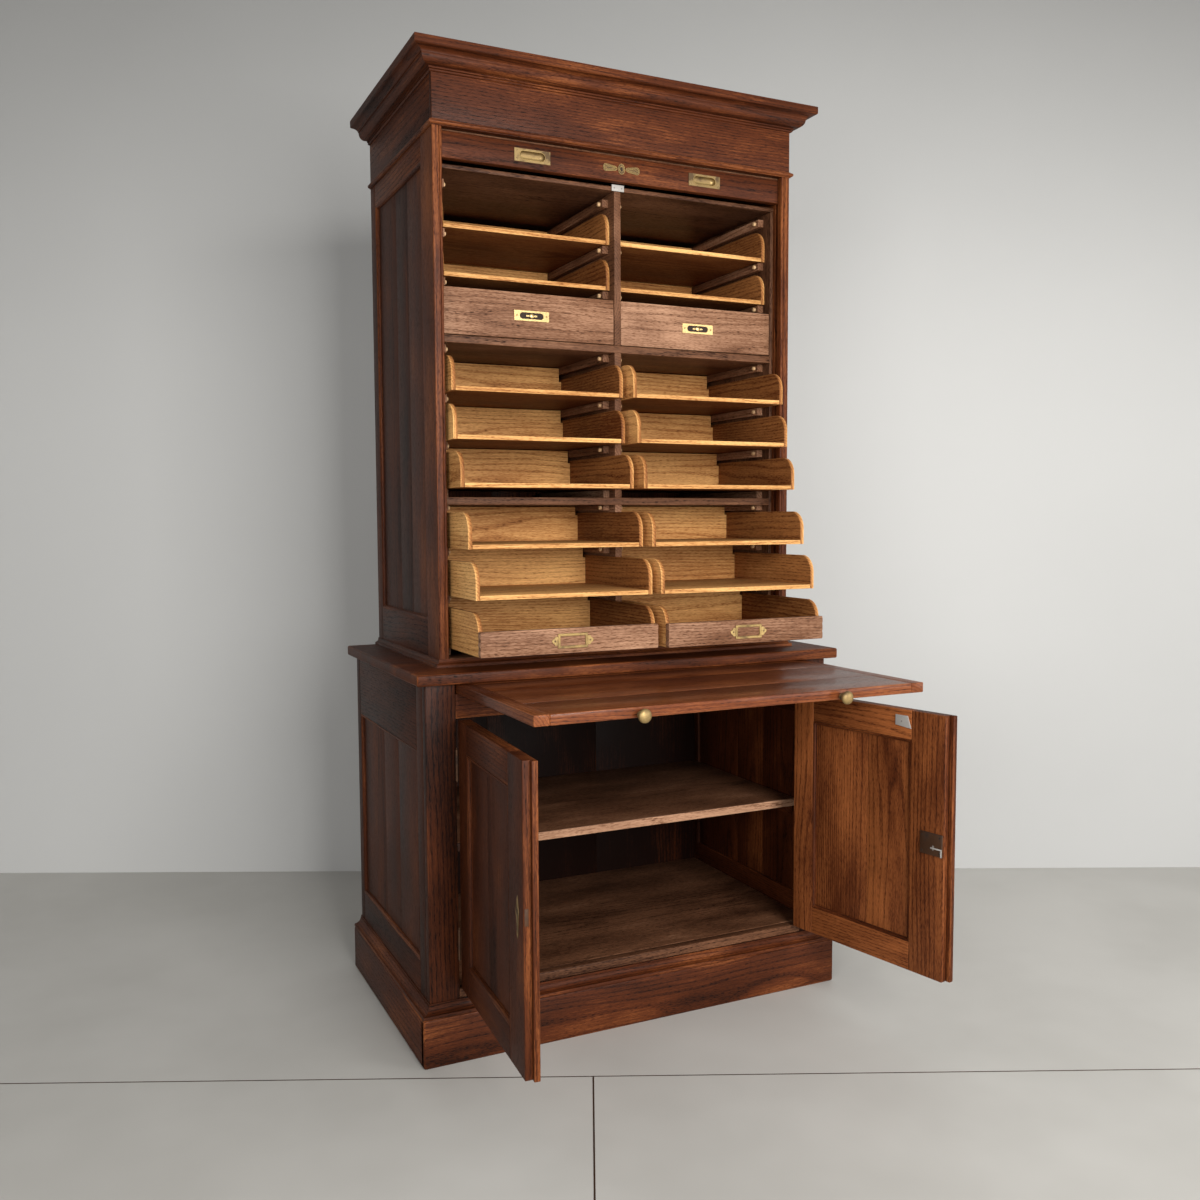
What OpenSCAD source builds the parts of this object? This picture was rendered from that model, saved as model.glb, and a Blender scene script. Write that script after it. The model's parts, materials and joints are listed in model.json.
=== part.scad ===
// Tambour-front filing cabinet: sixteen sliding paper trays and two drawers in a tall upper
// case, standing on a cupboard base with a pull-out writing slide and a pair of doors.
// Frame: X to the right, Y to the back, Z up, origin on the floor in the middle of the plinth.
// All sizes are in millimetres. Each moving piece is drawn where it stands when the cabinet
// is in use: curtain up, lower trays drawn out in steps, slide out and both doors open.

/* [Base cupboard] */
// Floor to the top of the base's top board
base_h = 800; // [720:5:960]
// How far each base side stands outside the upper case
base_step_x = 55; // [40:1:80]
// How far the base front stands in front of the upper case
base_step_y = 76; // [60:1:110]
// How far the base back stands behind the upper case
base_step_back = 6; // [2:1:20]
// Thickness of the base's top board
top_t = 23; // [18:1:30]
// Overhang of the top board at the front and the sides
top_over = 22; // [12:1:35]
// Thickness of the base's side and front framing
frame_t = 22; // [18:1:28]
// Width of the front stiles that carry the doors
stile_w = 63; // [50:1:90]
// Height of the plinth boards
plinth_h = 102; // [80:1:130]
// How far the plinth stands outside the base
plinth_out = 20; // [14:1:28]
// Height of the moulding on top of the plinth
plinth_mould_h = 25; // [18:1:32]

/* [Writing slide] */
// Thickness of the writing slide
slide_t = 20; // [16:1:26]
// Length of the slide board from front to back
slide_d = 520; // [480:5:540]
// How far the slide is drawn out
slide_out = 412; // [0:1:440]
// Width of the clamp boards across the slide's ends
clamp_w = 30; // [20:1:60]
// Distance of each knob from the middle
knob_x = 218; // [120:1:260]
// Height of the rail under the slide
slide_rail_h = 50; // [35:1:60]

/* [Doors] */
// Thickness of the doors
door_t = 25; // [20:1:30]
// Angle at which the left door stands open
door_open_l = 93.5; // [0:0.5:120]
// Angle at which the right door stands open
door_open_r = 101.5; // [0:0.5:120]
// Width of a door's hinge stile
hinge_stile_w = 58; // [40:1:80]
// Width of a door's meeting stile
meet_stile_w = 84; // [60:1:110]
// Height of a door's top and bottom rails
door_rail_h = 61; // [45:1:90]

/* [Upper case] */
// Width of the upper case across its sides
upper_w = 858; // [760:1:1040]
// Depth of the upper case
upper_d = 492; // [470:1:600]
// Thickness of the case sides, which show as narrow stiles at the front
side_t = 21; // [19:1:28]
// Thickness of the liner boards that carry the outer runners
liner_t = 8; // [6:1:14]
// Thickness of the centre divider
divider_t = 16; // [12:1:22]
// Thickness of the bottom board and of the top board
board_t = 18; // [14:1:24]
// Thickness of the two cross shelves
shelf_t = 16; // [12:1:20]
// Thickness of the ceiling above the trays
ceiling_t = 9; // [6:1:14]
// Height of the frieze between the astragal and the cornice
frieze_h = 90; // [60:1:130]
// Height of the cornice
cornice_h = 51; // [40:1:70]
// How far the cornice stands out
cornice_out = 46; // [30:1:60]

/* [Trays and drawers] */
// Height of a tray's sides
tray_h = 74; // [60:1:90]
// Height of the lowest trays' sides
low_tray_h = 85; // [72:1:102]
// Height of the front board of the lowest trays
low_front_h = 50; // [35:1:60]
// Depth of a tray from front to back
tray_d = 325; // [280:1:340]
// Thickness of a tray's sides and back
tray_t = 9; // [7:1:12]
// Thickness of a tray's floor
tray_floor_t = 9; // [6:1:12]
// Radius of the round on a tray side's front top corner
tray_r = 38; // [20:1:55]
// Height of a drawer front
drawer_h = 96; // [70:1:120]
// Thickness of a drawer front
drawer_front_t = 18; // [14:1:22]
// How far each left tray is drawn out, from the top down
out_l = [0, 0, 65, 74, 115, 157, 199, 224];
// How far each right tray is drawn out, from the top down
out_r = [0, 0, 78, 98, 127, 165, 204, 238];

/* [Tambour] */
// Height of the curtain's lead rail
rail_h = 53; // [45:1:70]
// Thickness of the lead rail
rail_t = 16; // [14:1:20]
// Thickness of the curtain's slats
slat_t = 8; // [6:1:10]
// Width of one slat
slat_w = 17.5; // [12:0.5:18]
// Spacing of the slats along the track
slat_pitch = 20; // [19:0.5:24]

/* [Hidden] */

$fn = 48;
// Hairline between boards of one piece, so that each board stays a body of its own
seam = 0.2;
// Running clearance of anything that slides
run = 1;
// Wood tones
oak = "saddlebrown";
pale_oak = "burlywood";
dark_oak = "#5a3420";

// --- Plan -------------------------------------------------------------------------------
upper_x = upper_w / 2;
inner_x = upper_x - side_t;
liner_x = inner_x - liner_t;
base_x = upper_x + base_step_x;
base_d = upper_d + base_step_y + base_step_back;
base_back_y = (base_d + plinth_out) / 2;
base_front_y = base_back_y - base_d;
upper_front_y = base_front_y + base_step_y;
upper_back_y = base_back_y - base_step_back;
back_t = 12;
opening_x = base_x - stile_w;

// The curtain hangs in a groove behind the front stiles
rail_recess = 13;
rail_y = upper_front_y + rail_recess;
slat_y = rail_y + rail_t / 2;
tongue_l = 8;
groove_w = slat_t + 3 * run;
groove_d = tongue_l + run;
rail_end_gap = 1.5;
// The inner framing starts just behind the curtain, and the trays a little further back
inner_y = rail_y + rail_t + 4;
drawer_y = inner_y + 2;
tray_y = inner_y + 22;
runner_y = tray_y + 7;
inner_back_y = upper_back_y - 56;

// --- Heights ------------------------------------------------------------------------------
runner_h = 17;
runner_w = 15;
kicker_h = 12;
kicker_gap = 4;
over_support = runner_h + run;
between = 25;
floor_z = base_h + board_t;
shelf_gap = 16;
drawer_shelf_gap = 28;
drawer_gap = 2;
head_gap = 37;
tray_step = tray_h + between;
z8 = floor_z + over_support;
z7 = z8 + low_tray_h + between;
z6 = z7 + tray_step;
shelf_low_z = z6 + tray_h + shelf_gap;
z5 = shelf_low_z + shelf_t + over_support;
z4 = z5 + tray_step;
z3 = z4 + tray_step;
shelf_high_z = z3 + tray_h + drawer_shelf_gap;
drawer_z = shelf_high_z + shelf_t + drawer_gap;
z2 = drawer_z + drawer_h + between;
z1 = z2 + tray_step;
tray_z = [z1, z2, z3, z4, z5, z6, z7, z8];
ceiling_z = z1 + tray_h + head_gap;
rail_z = ceiling_z + ceiling_t + 6;
astragal_z = rail_z + rail_h + 4;
astragal_h = 12;
astragal_out = 7;
cornice_z = astragal_z + astragal_h + frieze_h;
case_top_z = cornice_z + cornice_h - 3;
foot_h = 17;
foot_out = 10;
top_z = base_h - top_t;
slide_z = top_z - run - slide_t;
slide_rail_z = slide_z - run - slide_rail_h;
bottom_z = plinth_h + plinth_mould_h;
bottom_t = 20;
door_gap = 2;
door_z = bottom_z + bottom_t + door_gap;
door_top_z = slide_rail_z - door_gap;
door_mid_z = (door_z + door_top_z) / 2;

// --- Trays --------------------------------------------------------------------------------
tray_in = divider_t / 2 + run;
tray_w = liner_x - run - tray_in;
column_x = tray_in + tray_w / 2;

// --- Curtain track: up behind the frieze, back over the ceiling, down in front of the back
track_r = 50;
track_spring_z = astragal_z + 35;
track_top_z = track_spring_z + track_r;
track_back_y = upper_back_y - back_t - 12;
track_flat = track_back_y - track_r - (slat_y + track_r);
track_arc = PI * track_r / 2;
curtain_l = rail_z - floor_z + 40;
slat_count = floor(curtain_l / slat_pitch);
slat_reach = inner_x + tongue_l - run;
track_down = curtain_l - 2 * track_arc - track_flat + groove_w;

// A box between two corners
module slab(lo, hi) {
    translate(lo) cube(hi - lo);
}

// The same thing on the right and on the left
module both_sides() {
    children();
    mirror([1, 0, 0]) children();
}

// A flat shape drawn in (Y, Z), given a thickness along X from x0
module across(x0, t) {
    translate([x0, 0, 0]) rotate([90, 0, 90]) linear_extrude(t) children();
}

// A flat shape drawn in (X, Z), given a thickness t from y0 towards the back
module facing(y0, t) {
    translate([0, y0 + t, 0]) rotate([90, 0, 0]) linear_extrude(t) children();
}

// A slot shape with round ends
module oblong(l, h) {
    square([l - h, h], center = true);
    for (s = [-1, 1]) translate([s * (l - h) / 2, 0]) circle(d = h);
}

// Points of an arc about c
function arc(c, r, a0, a1, n = 8) =
    [for (k = [0:n]) let (a = a0 + (a1 - a0) * k / n) c + r * [cos(a), sin(a)]];

// A moulding carried round the front and both sides of a case, mitred at the corners.
// The profile is a list of [distance out, height].
module wrap(half_w, front_y, back_y, profile) {
    reach = max([for (p = profile) p[0]]);
    low = min([for (p = profile) p[1]]) - 1;
    tall = max([for (p = profile) p[1]]) - low + 1;
    intersection() {
        translate([0, front_y, 0]) across(-half_w - reach, 2 * (half_w + reach))
            polygon([for (p = profile) [-p[0], p[1]]]);
        translate([0, 0, low]) linear_extrude(tall) polygon([
            [-half_w, front_y], [-half_w - reach, front_y - reach],
            [half_w + reach, front_y - reach], [half_w, front_y]]);
    }
    both_sides() intersection() {
        translate([half_w, back_y, 0]) rotate([90, 0, 0])
            linear_extrude(back_y - front_y + reach) polygon(profile);
        translate([0, 0, low]) linear_extrude(tall) polygon([
            [half_w, front_y + seam], [half_w + reach, front_y - reach + seam],
            [half_w + reach, back_y], [half_w, back_y]]);
    }
}

// --- Upper case ---------------------------------------------------------------------------
stile_front_w = 80;
stile_back_w = 40;
panel_recess = 7;
panel_t = 8;
upper_panel_z = base_h + 92;
upper_panel_top_z = astragal_z - 49;
frieze_t = rail_recess + 1;

// The curtain's track as a band in (Y, Z)
module track_band() {
    translate([slat_y - groove_w / 2, floor_z]) square([groove_w, track_spring_z - floor_z]);
    translate([slat_y + track_r, track_spring_z]) quarter_band(90);
    translate([slat_y + track_r, track_top_z - groove_w / 2]) square([track_flat, groove_w]);
    translate([track_back_y - track_r, track_spring_z]) quarter_band(0);
    translate([track_back_y - groove_w / 2, track_spring_z - track_down])
        square([groove_w, track_down]);
}

// A quarter of the band round a bend of the track
module quarter_band(turn) {
    rotate(turn) intersection() {
        difference() {
            circle(track_r + groove_w / 2);
            circle(track_r - groove_w / 2);
        }
        square(track_r + groove_w);
    }
}

module upper_sides() {
    color(dark_oak) both_sides() difference() {
        upper_side_members();
        across(inner_x - 1, groove_d + 1) track_band();
    }
}

// Stiles, rails and the plain frieze board of one side, each a board of its own
module upper_side_members() {
    fs = upper_front_y + stile_front_w;
    bs = upper_back_y - stile_back_w;
    slab([inner_x, upper_front_y, base_h], [upper_x, fs, astragal_z]);
    slab([inner_x, bs, base_h], [upper_x, upper_back_y, astragal_z]);
    slab([inner_x, fs + seam, base_h], [upper_x, bs - seam, upper_panel_z]);
    slab([inner_x, fs + seam, upper_panel_top_z], [upper_x, bs - seam, astragal_z]);
    slab([inner_x, upper_front_y + frieze_t, astragal_z + seam],
         [upper_x, upper_back_y, case_top_z]);
}

module side_panels() {
    color(dark_oak) both_sides() {
        slab([upper_x - panel_recess - panel_t, upper_front_y + stile_front_w + seam,
              upper_panel_z + seam],
             [upper_x - panel_recess, upper_back_y - stile_back_w - seam,
              upper_panel_top_z - seam]);
        slab([base_x - panel_recess - panel_t, base_panel_front_y + seam,
              base_panel_z + seam],
             [base_x - panel_recess, base_panel_back_y - seam, base_panel_top_z - seam]);
    }
}

module frieze() {
    color(oak) slab([-upper_x, upper_front_y, astragal_z],
                    [upper_x, upper_front_y + frieze_t, case_top_z]);
}

// A half-round bead between two small fillets
module astragal() {
    z = astragal_z;
    r = astragal_h / 2 - 1;
    color(oak) wrap(upper_x, upper_front_y, upper_back_y, concat(
        [[0, z], [2, z], [2, z + 1]],
        arc([2, z + 1 + r], r, -90, 90, 10),
        [[2, z + astragal_h], [0, z + astragal_h]]));
}

// Cove, large ogee and square top fillet
module cornice() {
    z = cornice_z;
    top = z + cornice_h;
    fillet = 15;
    cove = 8;
    bead = 4;
    belly = (cornice_h - fillet - cove - bead) / 2;
    mid = [cornice_out - 6 - belly, top - fillet - belly];
    color(oak) wrap(upper_x, upper_front_y, upper_back_y, concat(
        [[0, z], [4, z], [4, z + 3]],
        arc([4 + cove, z + 3], cove, 180, 90, 6),
        [[4 + cove, z + 3 + cove], [4 + cove + bead, z + 3 + cove]],
        arc([mid[0] - belly * 0.4, z + 3 + cove + belly * 0.9], belly * 0.9, -90, 0, 8),
        arc([cornice_out - 3, top - fillet - 1], belly * 0.7, 180, 90, 8),
        [[cornice_out, top - fillet + belly * 0.6], [cornice_out, top], [0, top]]));
}

module foot_moulding() {
    z = base_h;
    color(oak) wrap(upper_x, upper_front_y, upper_back_y, concat(
        [[0, z], [foot_out, z], [foot_out, z + 6]],
        arc([foot_out - 1, z + foot_h - 3], 7, -90, -180, 6),
        [[2, z + foot_h], [0, z + foot_h]]));
}

// Bottom board, ceiling over the trays and case top
module upper_boards() {
    color(oak) {
        slab([-inner_x, upper_front_y, base_h],
             [inner_x, upper_back_y - back_t, floor_z]);
        slab([-inner_x, inner_y - 1, ceiling_z],
             [inner_x, inner_back_y, ceiling_z + ceiling_t]);
        slab([-inner_x, upper_front_y + frieze_t, case_top_z - board_t],
             [inner_x, upper_back_y - back_t, case_top_z]);
    }
}

module upper_back() {
    color(dark_oak) back_boards(inner_x, upper_back_y, floor_z, case_top_z - board_t);
}

// Three upright boards that close a case's back
module back_boards(half_w, back_y, z0, z1) {
    w = 2 * half_w / 3;
    for (k = [0:2])
        slab([-half_w + k * w + (k > 0 ? seam : 0), back_y - back_t, z0],
             [-half_w + (k + 1) * w, back_y, z1]);
}

// Liners beside the trays and the divider between the columns, cut by the cross shelves
module inner_uprights() {
    spans = [[floor_z, shelf_low_z], [shelf_low_z + shelf_t, shelf_high_z],
             [shelf_high_z + shelf_t, ceiling_z]];
    color(oak) {
        both_sides() slab([liner_x, inner_y, floor_z], [inner_x, inner_back_y, ceiling_z]);
        for (s = spans)
            slab([-divider_t / 2, inner_y, s[0]], [divider_t / 2, inner_back_y, s[1]]);
    }
}

module cross_shelves() {
    color(oak) for (z = [shelf_low_z, shelf_high_z])
        slab([-liner_x, inner_y, z], [liner_x, inner_back_y, z + shelf_t]);
}

// Heights of the runners under the trays, then of the kickers above the top tray of a stack,
// each as [bottom, height]
runner_zs = [for (z = tray_z) z - run - runner_h];
kickers = [[z1 + tray_h + 2 * kicker_gap, runner_h], [shelf_high_z - runner_h, runner_h],
           [z6 + tray_h + kicker_gap, kicker_h]];

module runners() {
    color(pale_oak) both_sides() for (x = [liner_x - runner_w, divider_t / 2]) {
        for (z = runner_zs)
            slab([x, runner_y, z], [x + runner_w, inner_back_y, z + runner_h]);
        for (k = kickers)
            slab([x, runner_y, k[0]], [x + runner_w, inner_back_y, k[0] + k[1]]);
    }
}

peg_d = 9;
peg_out = 6;
peg_setback = 13;

// Turned pegs that stand out of the runners near their front ends
module runner_pegs() {
    mid = concat([for (k = [1, 2, 3, 5, 6]) runner_zs[k] + runner_h / 2],
                 [for (k = kickers) k[0] + k[1] / 2], [runner_zs[0] + runner_h / 2]);
    color("wheat") both_sides() for (z = mid) {
        peg(liner_x - runner_w - peg_out, z);
        peg(divider_t / 2 + runner_w, z);
    }
}

module peg(x, z) {
    translate([x, runner_y + peg_setback, z]) rotate([0, 90, 0])
        cylinder(d = peg_d, h = peg_out);
}

// --- Trays and drawers ----------------------------------------------------------------------
// Outline of a tray side in (Y, Z), with a round front top corner
module tray_side_shape(depth, h) {
    r = min(tray_r, h - 10);
    polygon(concat([[0, 0], [depth, 0], [depth, h]], arc([r, h - r], r, 90, 180, 12)));
}

// What is above each tray, from the top: a kicker's top, a tray or a shelf. The back of a tray
// stands up between the two runners above it and nearly reaches that height.
heads = [kickers[0][0] + kickers[0][1] + run, z1, shelf_high_z, z3, z4, shelf_low_z, z6, z7];
back_gap = 2;
back_half = (liner_x - divider_t / 2) / 2 - runner_w - run;

// One open-fronted tray. side is -1 on the left and 1 on the right, i counts from the top.
module tray(side, i) {
    out = (side < 0 ? out_l : out_r)[i - 1];
    low = i == len(tray_z);
    h = low ? low_tray_h : tray_h;
    front = low ? 14 : 0;
    back_h = h - 6;
    half = tray_w / 2;
    color(pale_oak) translate([side * column_x, tray_y - out, tray_z[i - 1]]) {
        both_sides() translate([0, low ? front + seam : 0, 0])
            across(half - tray_t, tray_t)
                tray_side_shape(tray_d - front - (low ? seam : 0), h);
        slab([-half + tray_t + seam, low ? front + seam : 0, 0],
             [half - tray_t - seam, tray_d - tray_t - seam, tray_floor_t]);
        slab([-half + tray_t + seam, tray_d - tray_t, 0],
             [half - tray_t - seam, tray_d, back_h]);
        slab([-back_half, tray_d - tray_t, back_h + seam],
             [back_half, tray_d, heads[i - 1] - back_gap - tray_z[i - 1]]);
        if (low) slab([-half, 0, 0], [half, front, low_front_h]);
    }
}

drawer_side_inset = 4;

module drawer(side) {
    half = tray_w / 2;
    in = half - drawer_side_inset;
    depth = tray_y + tray_d - drawer_y;
    h = drawer_h - 14;
    y1 = drawer_front_t + seam;
    color(pale_oak) translate([side * column_x, drawer_y, drawer_z]) {
        slab([-half, 0, 0], [half, drawer_front_t, drawer_h]);
        both_sides() slab([in - tray_t, y1, 2], [in, depth, h]);
        slab([-in + tray_t + seam, y1, 2],
             [in - tray_t - seam, depth - tray_t - seam, 2 + tray_floor_t]);
        slab([-in + tray_t + seam, depth - tray_t, 2], [in - tray_t - seam, depth, h - 6]);
    }
}

plate_l = 80;
plate_h = 22;
plate_t = 1.5;

// Flat brass plate with a round-ended finger slot and a small ring in it
module drawer_plate(side) {
    color("gold") translate([side * column_x, 0, drawer_z + drawer_h / 2])
        facing(drawer_y - plate_t, plate_t) {
            difference() {
                square([plate_l, plate_h], center = true);
                oblong(41, 11);
            }
            difference() {
                oblong(12, 11.2);
                circle(d = 6);
            }
        }
}

holder_l = 68;
holder_h = 30;

// Card frame with a shaped ear at each end
module card_holder(side) {
    i = len(tray_z);
    out = (side < 0 ? out_l : out_r)[i - 1];
    color("gold") translate([side * column_x, 0, tray_z[i - 1] + low_front_h / 2])
        facing(tray_y - out - 2, 2) difference() {
            union() {
                square([holder_l, holder_h], center = true);
                for (s = [-1, 1]) translate([s * holder_l / 2, 0]) {
                    circle(d = 16);
                    translate([s * 8, 0]) circle(d = 7);
                }
            }
            square([holder_l - 8, holder_h - 8], center = true);
            for (s = [-1, 1]) translate([s * (holder_l / 2 + 8), 0]) circle(d = 3);
        }
}

// --- Tambour ----------------------------------------------------------------------------------
pull_x = 208;
pull_l = 81;
pull_h = 27;
cup_l = 60;
cup_h = 20;
cup_depth = 9;
cup_wall = 1.5;
lock_l = 60;
lock_h = 36;
lock_depth = 5;
rail_mid_z = rail_z + rail_h / 2;

module lead_rail() {
    body_x = inner_x - rail_end_gap;
    color(oak) difference() {
        union() {
            slab([-body_x, rail_y, rail_z], [body_x, rail_y + rail_t, rail_z + rail_h]);
            slab([-inner_x - tongue_l + run, slat_y - slat_t / 2, rail_z],
                 [inner_x + tongue_l - run, slat_y + slat_t / 2, rail_z + rail_h]);
        }
        for (s = [-1, 1]) translate([s * pull_x, 0, rail_mid_z])
            facing(rail_y - 1, cup_depth + 1) oblong(cup_l + seam, cup_h + seam);
        slab([-lock_l / 2 - seam, rail_y + rail_t - lock_depth, rail_mid_z - lock_h / 2 - seam],
             [lock_l / 2 + seam, rail_y + rail_t + 1, rail_mid_z + lock_h / 2 + seam]);
        translate([0, 0, rail_mid_z]) facing(rail_y - 1, rail_t + 2) circle(d = 5);
    }
}

// A plate on the face and a round-ended cup let into the rail, one on each side
module rail_pulls() {
    color("darkgoldenrod") for (s = [-1, 1]) translate([s * pull_x, 0, rail_mid_z])
        difference() {
            union() {
                facing(rail_y - plate_t, plate_t) square([pull_l, pull_h], center = true);
                facing(rail_y - seam, cup_depth) oblong(cup_l, cup_h);
            }
            facing(rail_y - plate_t - 1, cup_depth + plate_t - cup_wall)
                oblong(cup_l - 2 * cup_wall, cup_h - 2 * cup_wall);
        }
}

// Key plate with a shield in the middle and a wing on each side
module rail_escutcheon() {
    wing = [[6, -7], [20, -9], [44, -6], [44, 6], [20, 9], [6, 7]];
    color("darkgoldenrod") translate([0, 0, rail_mid_z]) facing(rail_y - plate_t, plate_t)
        difference() {
            union() {
                circle(d = 22);
                polygon(concat(wing, [for (p = wing) [-p[0], -p[1]]]));
                polygon([[-5, 8], [0, 14], [5, 8], [5, -8], [0, -14], [-5, -8]]);
            }
            circle(d = 5);
            translate([-1.2, -7]) square([2.4, 7]);
        }
}

module rail_lock() {
    color("dimgray") slab([-lock_l / 2, rail_y + rail_t - lock_depth + seam,
                           rail_mid_z - lock_h / 2],
                          [lock_l / 2, rail_y + rail_t, rail_mid_z + lock_h / 2]);
}

// Folded-up stretch of the curtain between the lead rail and the first bend
module front_slats() {
    color(oak) slab([-slat_reach, slat_y - slat_t / 2, rail_z + rail_h + seam],
                    [slat_reach, slat_y + slat_t / 2, track_spring_z - seam]);
}

// Place and slope of a slat whose middle is s along the track from the first bend
function track_at(s) =
    s < track_arc ? let (a = 180 - 90 * s / track_arc)
        [slat_y + track_r + track_r * cos(a), track_spring_z + track_r * sin(a), a - 90]
    : s < track_arc + track_flat
        ? [slat_y + track_r + s - track_arc, track_top_z, 0]
    : s < 2 * track_arc + track_flat
        ? let (a = 90 - 90 * (s - track_arc - track_flat) / track_arc)
          [track_back_y - track_r + track_r * cos(a), track_spring_z + track_r * sin(a), a - 90]
    : [track_back_y, track_spring_z - (s - 2 * track_arc - track_flat), -90];

module stored_slats() {
    color(oak) for (k = [0:slat_count - 1]) {
        p = track_at((k + 0.5) * slat_pitch);
        translate([0, p[0], p[1]]) rotate([p[2], 0, 0])
            cube([2 * slat_reach, slat_w, slat_t], center = true);
    }
}

// Steel plate on the front of the ceiling, which the curtain's lock hooks on
module strike_plate() {
    plate = 2;
    color("silver") slab([-15, inner_y - 1 - plate, ceiling_z - 1],
                         [15, inner_y - 1, ceiling_z + ceiling_t + 4]);
}

// --- Base ---------------------------------------------------------------------------------------
base_panel_front_y = base_front_y + 66;
base_panel_back_y = base_back_y - 30;
base_panel_z = bottom_z + 66;
base_panel_top_z = top_z - 142;
base_inner_x = base_x - frame_t;

// Front stiles, and behind each a framed side
module base_sides() {
    front = base_front_y + frame_t + seam;
    color(dark_oak) both_sides() {
        slab([opening_x, base_front_y, 0], [base_x, base_front_y + frame_t, top_z]);
        slab([base_inner_x, front, 0], [base_x, base_panel_front_y, top_z]);
        slab([base_inner_x, base_panel_back_y, 0], [base_x, base_back_y, top_z]);
        slab([base_inner_x, base_panel_front_y + seam, 0],
             [base_x, base_panel_back_y - seam, base_panel_z]);
        slab([base_inner_x, base_panel_front_y + seam, base_panel_top_z],
             [base_x, base_panel_back_y - seam, top_z]);
    }
}

module top_board() {
    x = base_x + top_over;
    y = base_front_y - top_over;
    nose = 3;
    color(oak) translate([0, 0, top_z]) across(-x, 2 * x)
        polygon([[y + nose, 0], [base_back_y, 0], [base_back_y, top_t], [y + nose, top_t],
                 [y, top_t - nose], [y, nose]]);
}

bearer_w = 60;
guide_h = slide_t - run;

// Rail under the slide, the bearers that it runs on and the guides beside it
module slide_rails() {
    back = base_back_y - back_t;
    bearer_z = slide_z - run - runner_h;
    color(oak) {
        slab([-opening_x, base_front_y, slide_rail_z],
             [opening_x, base_front_y + frame_t, slide_z - run]);
        both_sides() {
            slab([base_inner_x - bearer_w, base_front_y + frame_t + seam, bearer_z],
                 [base_inner_x, back, slide_z - run]);
            slab([opening_x, base_front_y + frame_t + seam, slide_z],
                 [base_inner_x, back, slide_z + guide_h]);
        }
    }
}

module base_bottom() {
    z1 = bottom_z + bottom_t;
    color(oak) {
        slab([-opening_x, base_front_y, bottom_z],
             [opening_x, base_front_y + frame_t, z1]);
        slab([-base_inner_x, base_front_y + frame_t + seam, bottom_z],
             [base_inner_x, base_back_y - back_t, z1]);
    }
}

module base_back() {
    color(dark_oak) back_boards(base_inner_x, base_back_y, bottom_z, top_z);
}

// Plinth boards round the base, and a bearer across the middle that stands on the floor
module plinth() {
    color(oak) {
        wrap(base_x, base_front_y, base_back_y,
             [[0, 0], [plinth_out, 0], [plinth_out, plinth_h], [0, plinth_h]]);
        slab([-25, base_front_y + seam, 0], [25, base_back_y - back_t, bottom_z]);
    }
}

module plinth_moulding() {
    z = plinth_h;
    top = z + plinth_mould_h;
    r = 13;
    color(oak) wrap(base_x, base_front_y, base_back_y, concat(
        [[0, z], [plinth_out - 1, z], [plinth_out - 1, z + 4]],
        arc([plinth_out - 1, top - 6], r, -100, -180, 8),
        [[plinth_out - 1 - r, top - 4], [4, top - 4], [4, top], [0, top]]));
}

cupboard_shelf_t = 18;
cupboard_shelf_z = door_mid_z - cupboard_shelf_t;
shelf_setback = 54;

module cupboard_shelf() {
    color(pale_oak) slab(
        [-base_inner_x + 1, base_front_y + frame_t + shelf_setback, cupboard_shelf_z],
        [base_inner_x - 1, base_back_y - back_t - 1, cupboard_shelf_z + cupboard_shelf_t]);
}

module shelf_cleats() {
    color(oak) both_sides()
        slab([base_inner_x - 18, base_front_y + 90, cupboard_shelf_z - 20],
             [base_inner_x, base_back_y - 40, cupboard_shelf_z]);
}

// --- Writing slide --------------------------------------------------------------------------------
slide_x = opening_x - 1.5;

module writing_slide() {
    y = base_front_y - slide_out;
    color("sienna") translate([0, y, slide_z]) {
        slab([-slide_x + clamp_w + seam, 0, 0], [slide_x - clamp_w - seam, slide_d, slide_t]);
        both_sides() slab([slide_x - clamp_w, 0, 0], [slide_x, slide_d, slide_t]);
    }
}

knob_d = 26;
knob_l = 24;
// The knobs sit low on the edge, so that they pass under the top board's overhang
knob_drop = 4;

// Turned knobs, each a round head on a waisted stem
module slide_knobs() {
    r = knob_d / 2;
    color("darkgoldenrod") for (s = [-1, 1])
        translate([s * knob_x, base_front_y - slide_out, slide_z + slide_t / 2 - knob_drop])
            rotate([90, 0, 0]) rotate_extrude() polygon(concat(
                [[0, 0], [r / 2 - 1, 0], [r / 2 - 1, 2], [4, 4], [4, knob_l - 14]],
                arc([r - 6, knob_l - 8], 6, -60, 70, 8), [[0, knob_l]]));
}

// --- Doors ------------------------------------------------------------------------------------------
hinge_out = 3;
knuckle_r = 3;
hinge_gap = 2;
meet_gap = 2;
leaf_t = 0.8;
leaf_h = 64;
hinge_zs = [door_z + 60, door_top_z - 60 - leaf_h];
hinge_y = base_front_y - hinge_out;
// The meeting stiles lap over each other: the left one behind, the right one in front
lap = 10;
door_w = opening_x - hinge_gap - (lap + meet_gap) / 2;
door_panel_t = 11;
door_panel_recess = 8;

// Puts a piece of a door, drawn closed with its hinge edge on the left at x = 0, in its place.
// side is -1 for the left door and 1 for the right one.
module hang(side) {
    angle = side < 0 ? door_open_l : door_open_r;
    mirror([side > 0 ? 1 : 0, 0, 0]) translate([-opening_x, hinge_y, 0])
        rotate([0, 0, -angle]) translate([hinge_gap, hinge_out, 0]) children();
}

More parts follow.
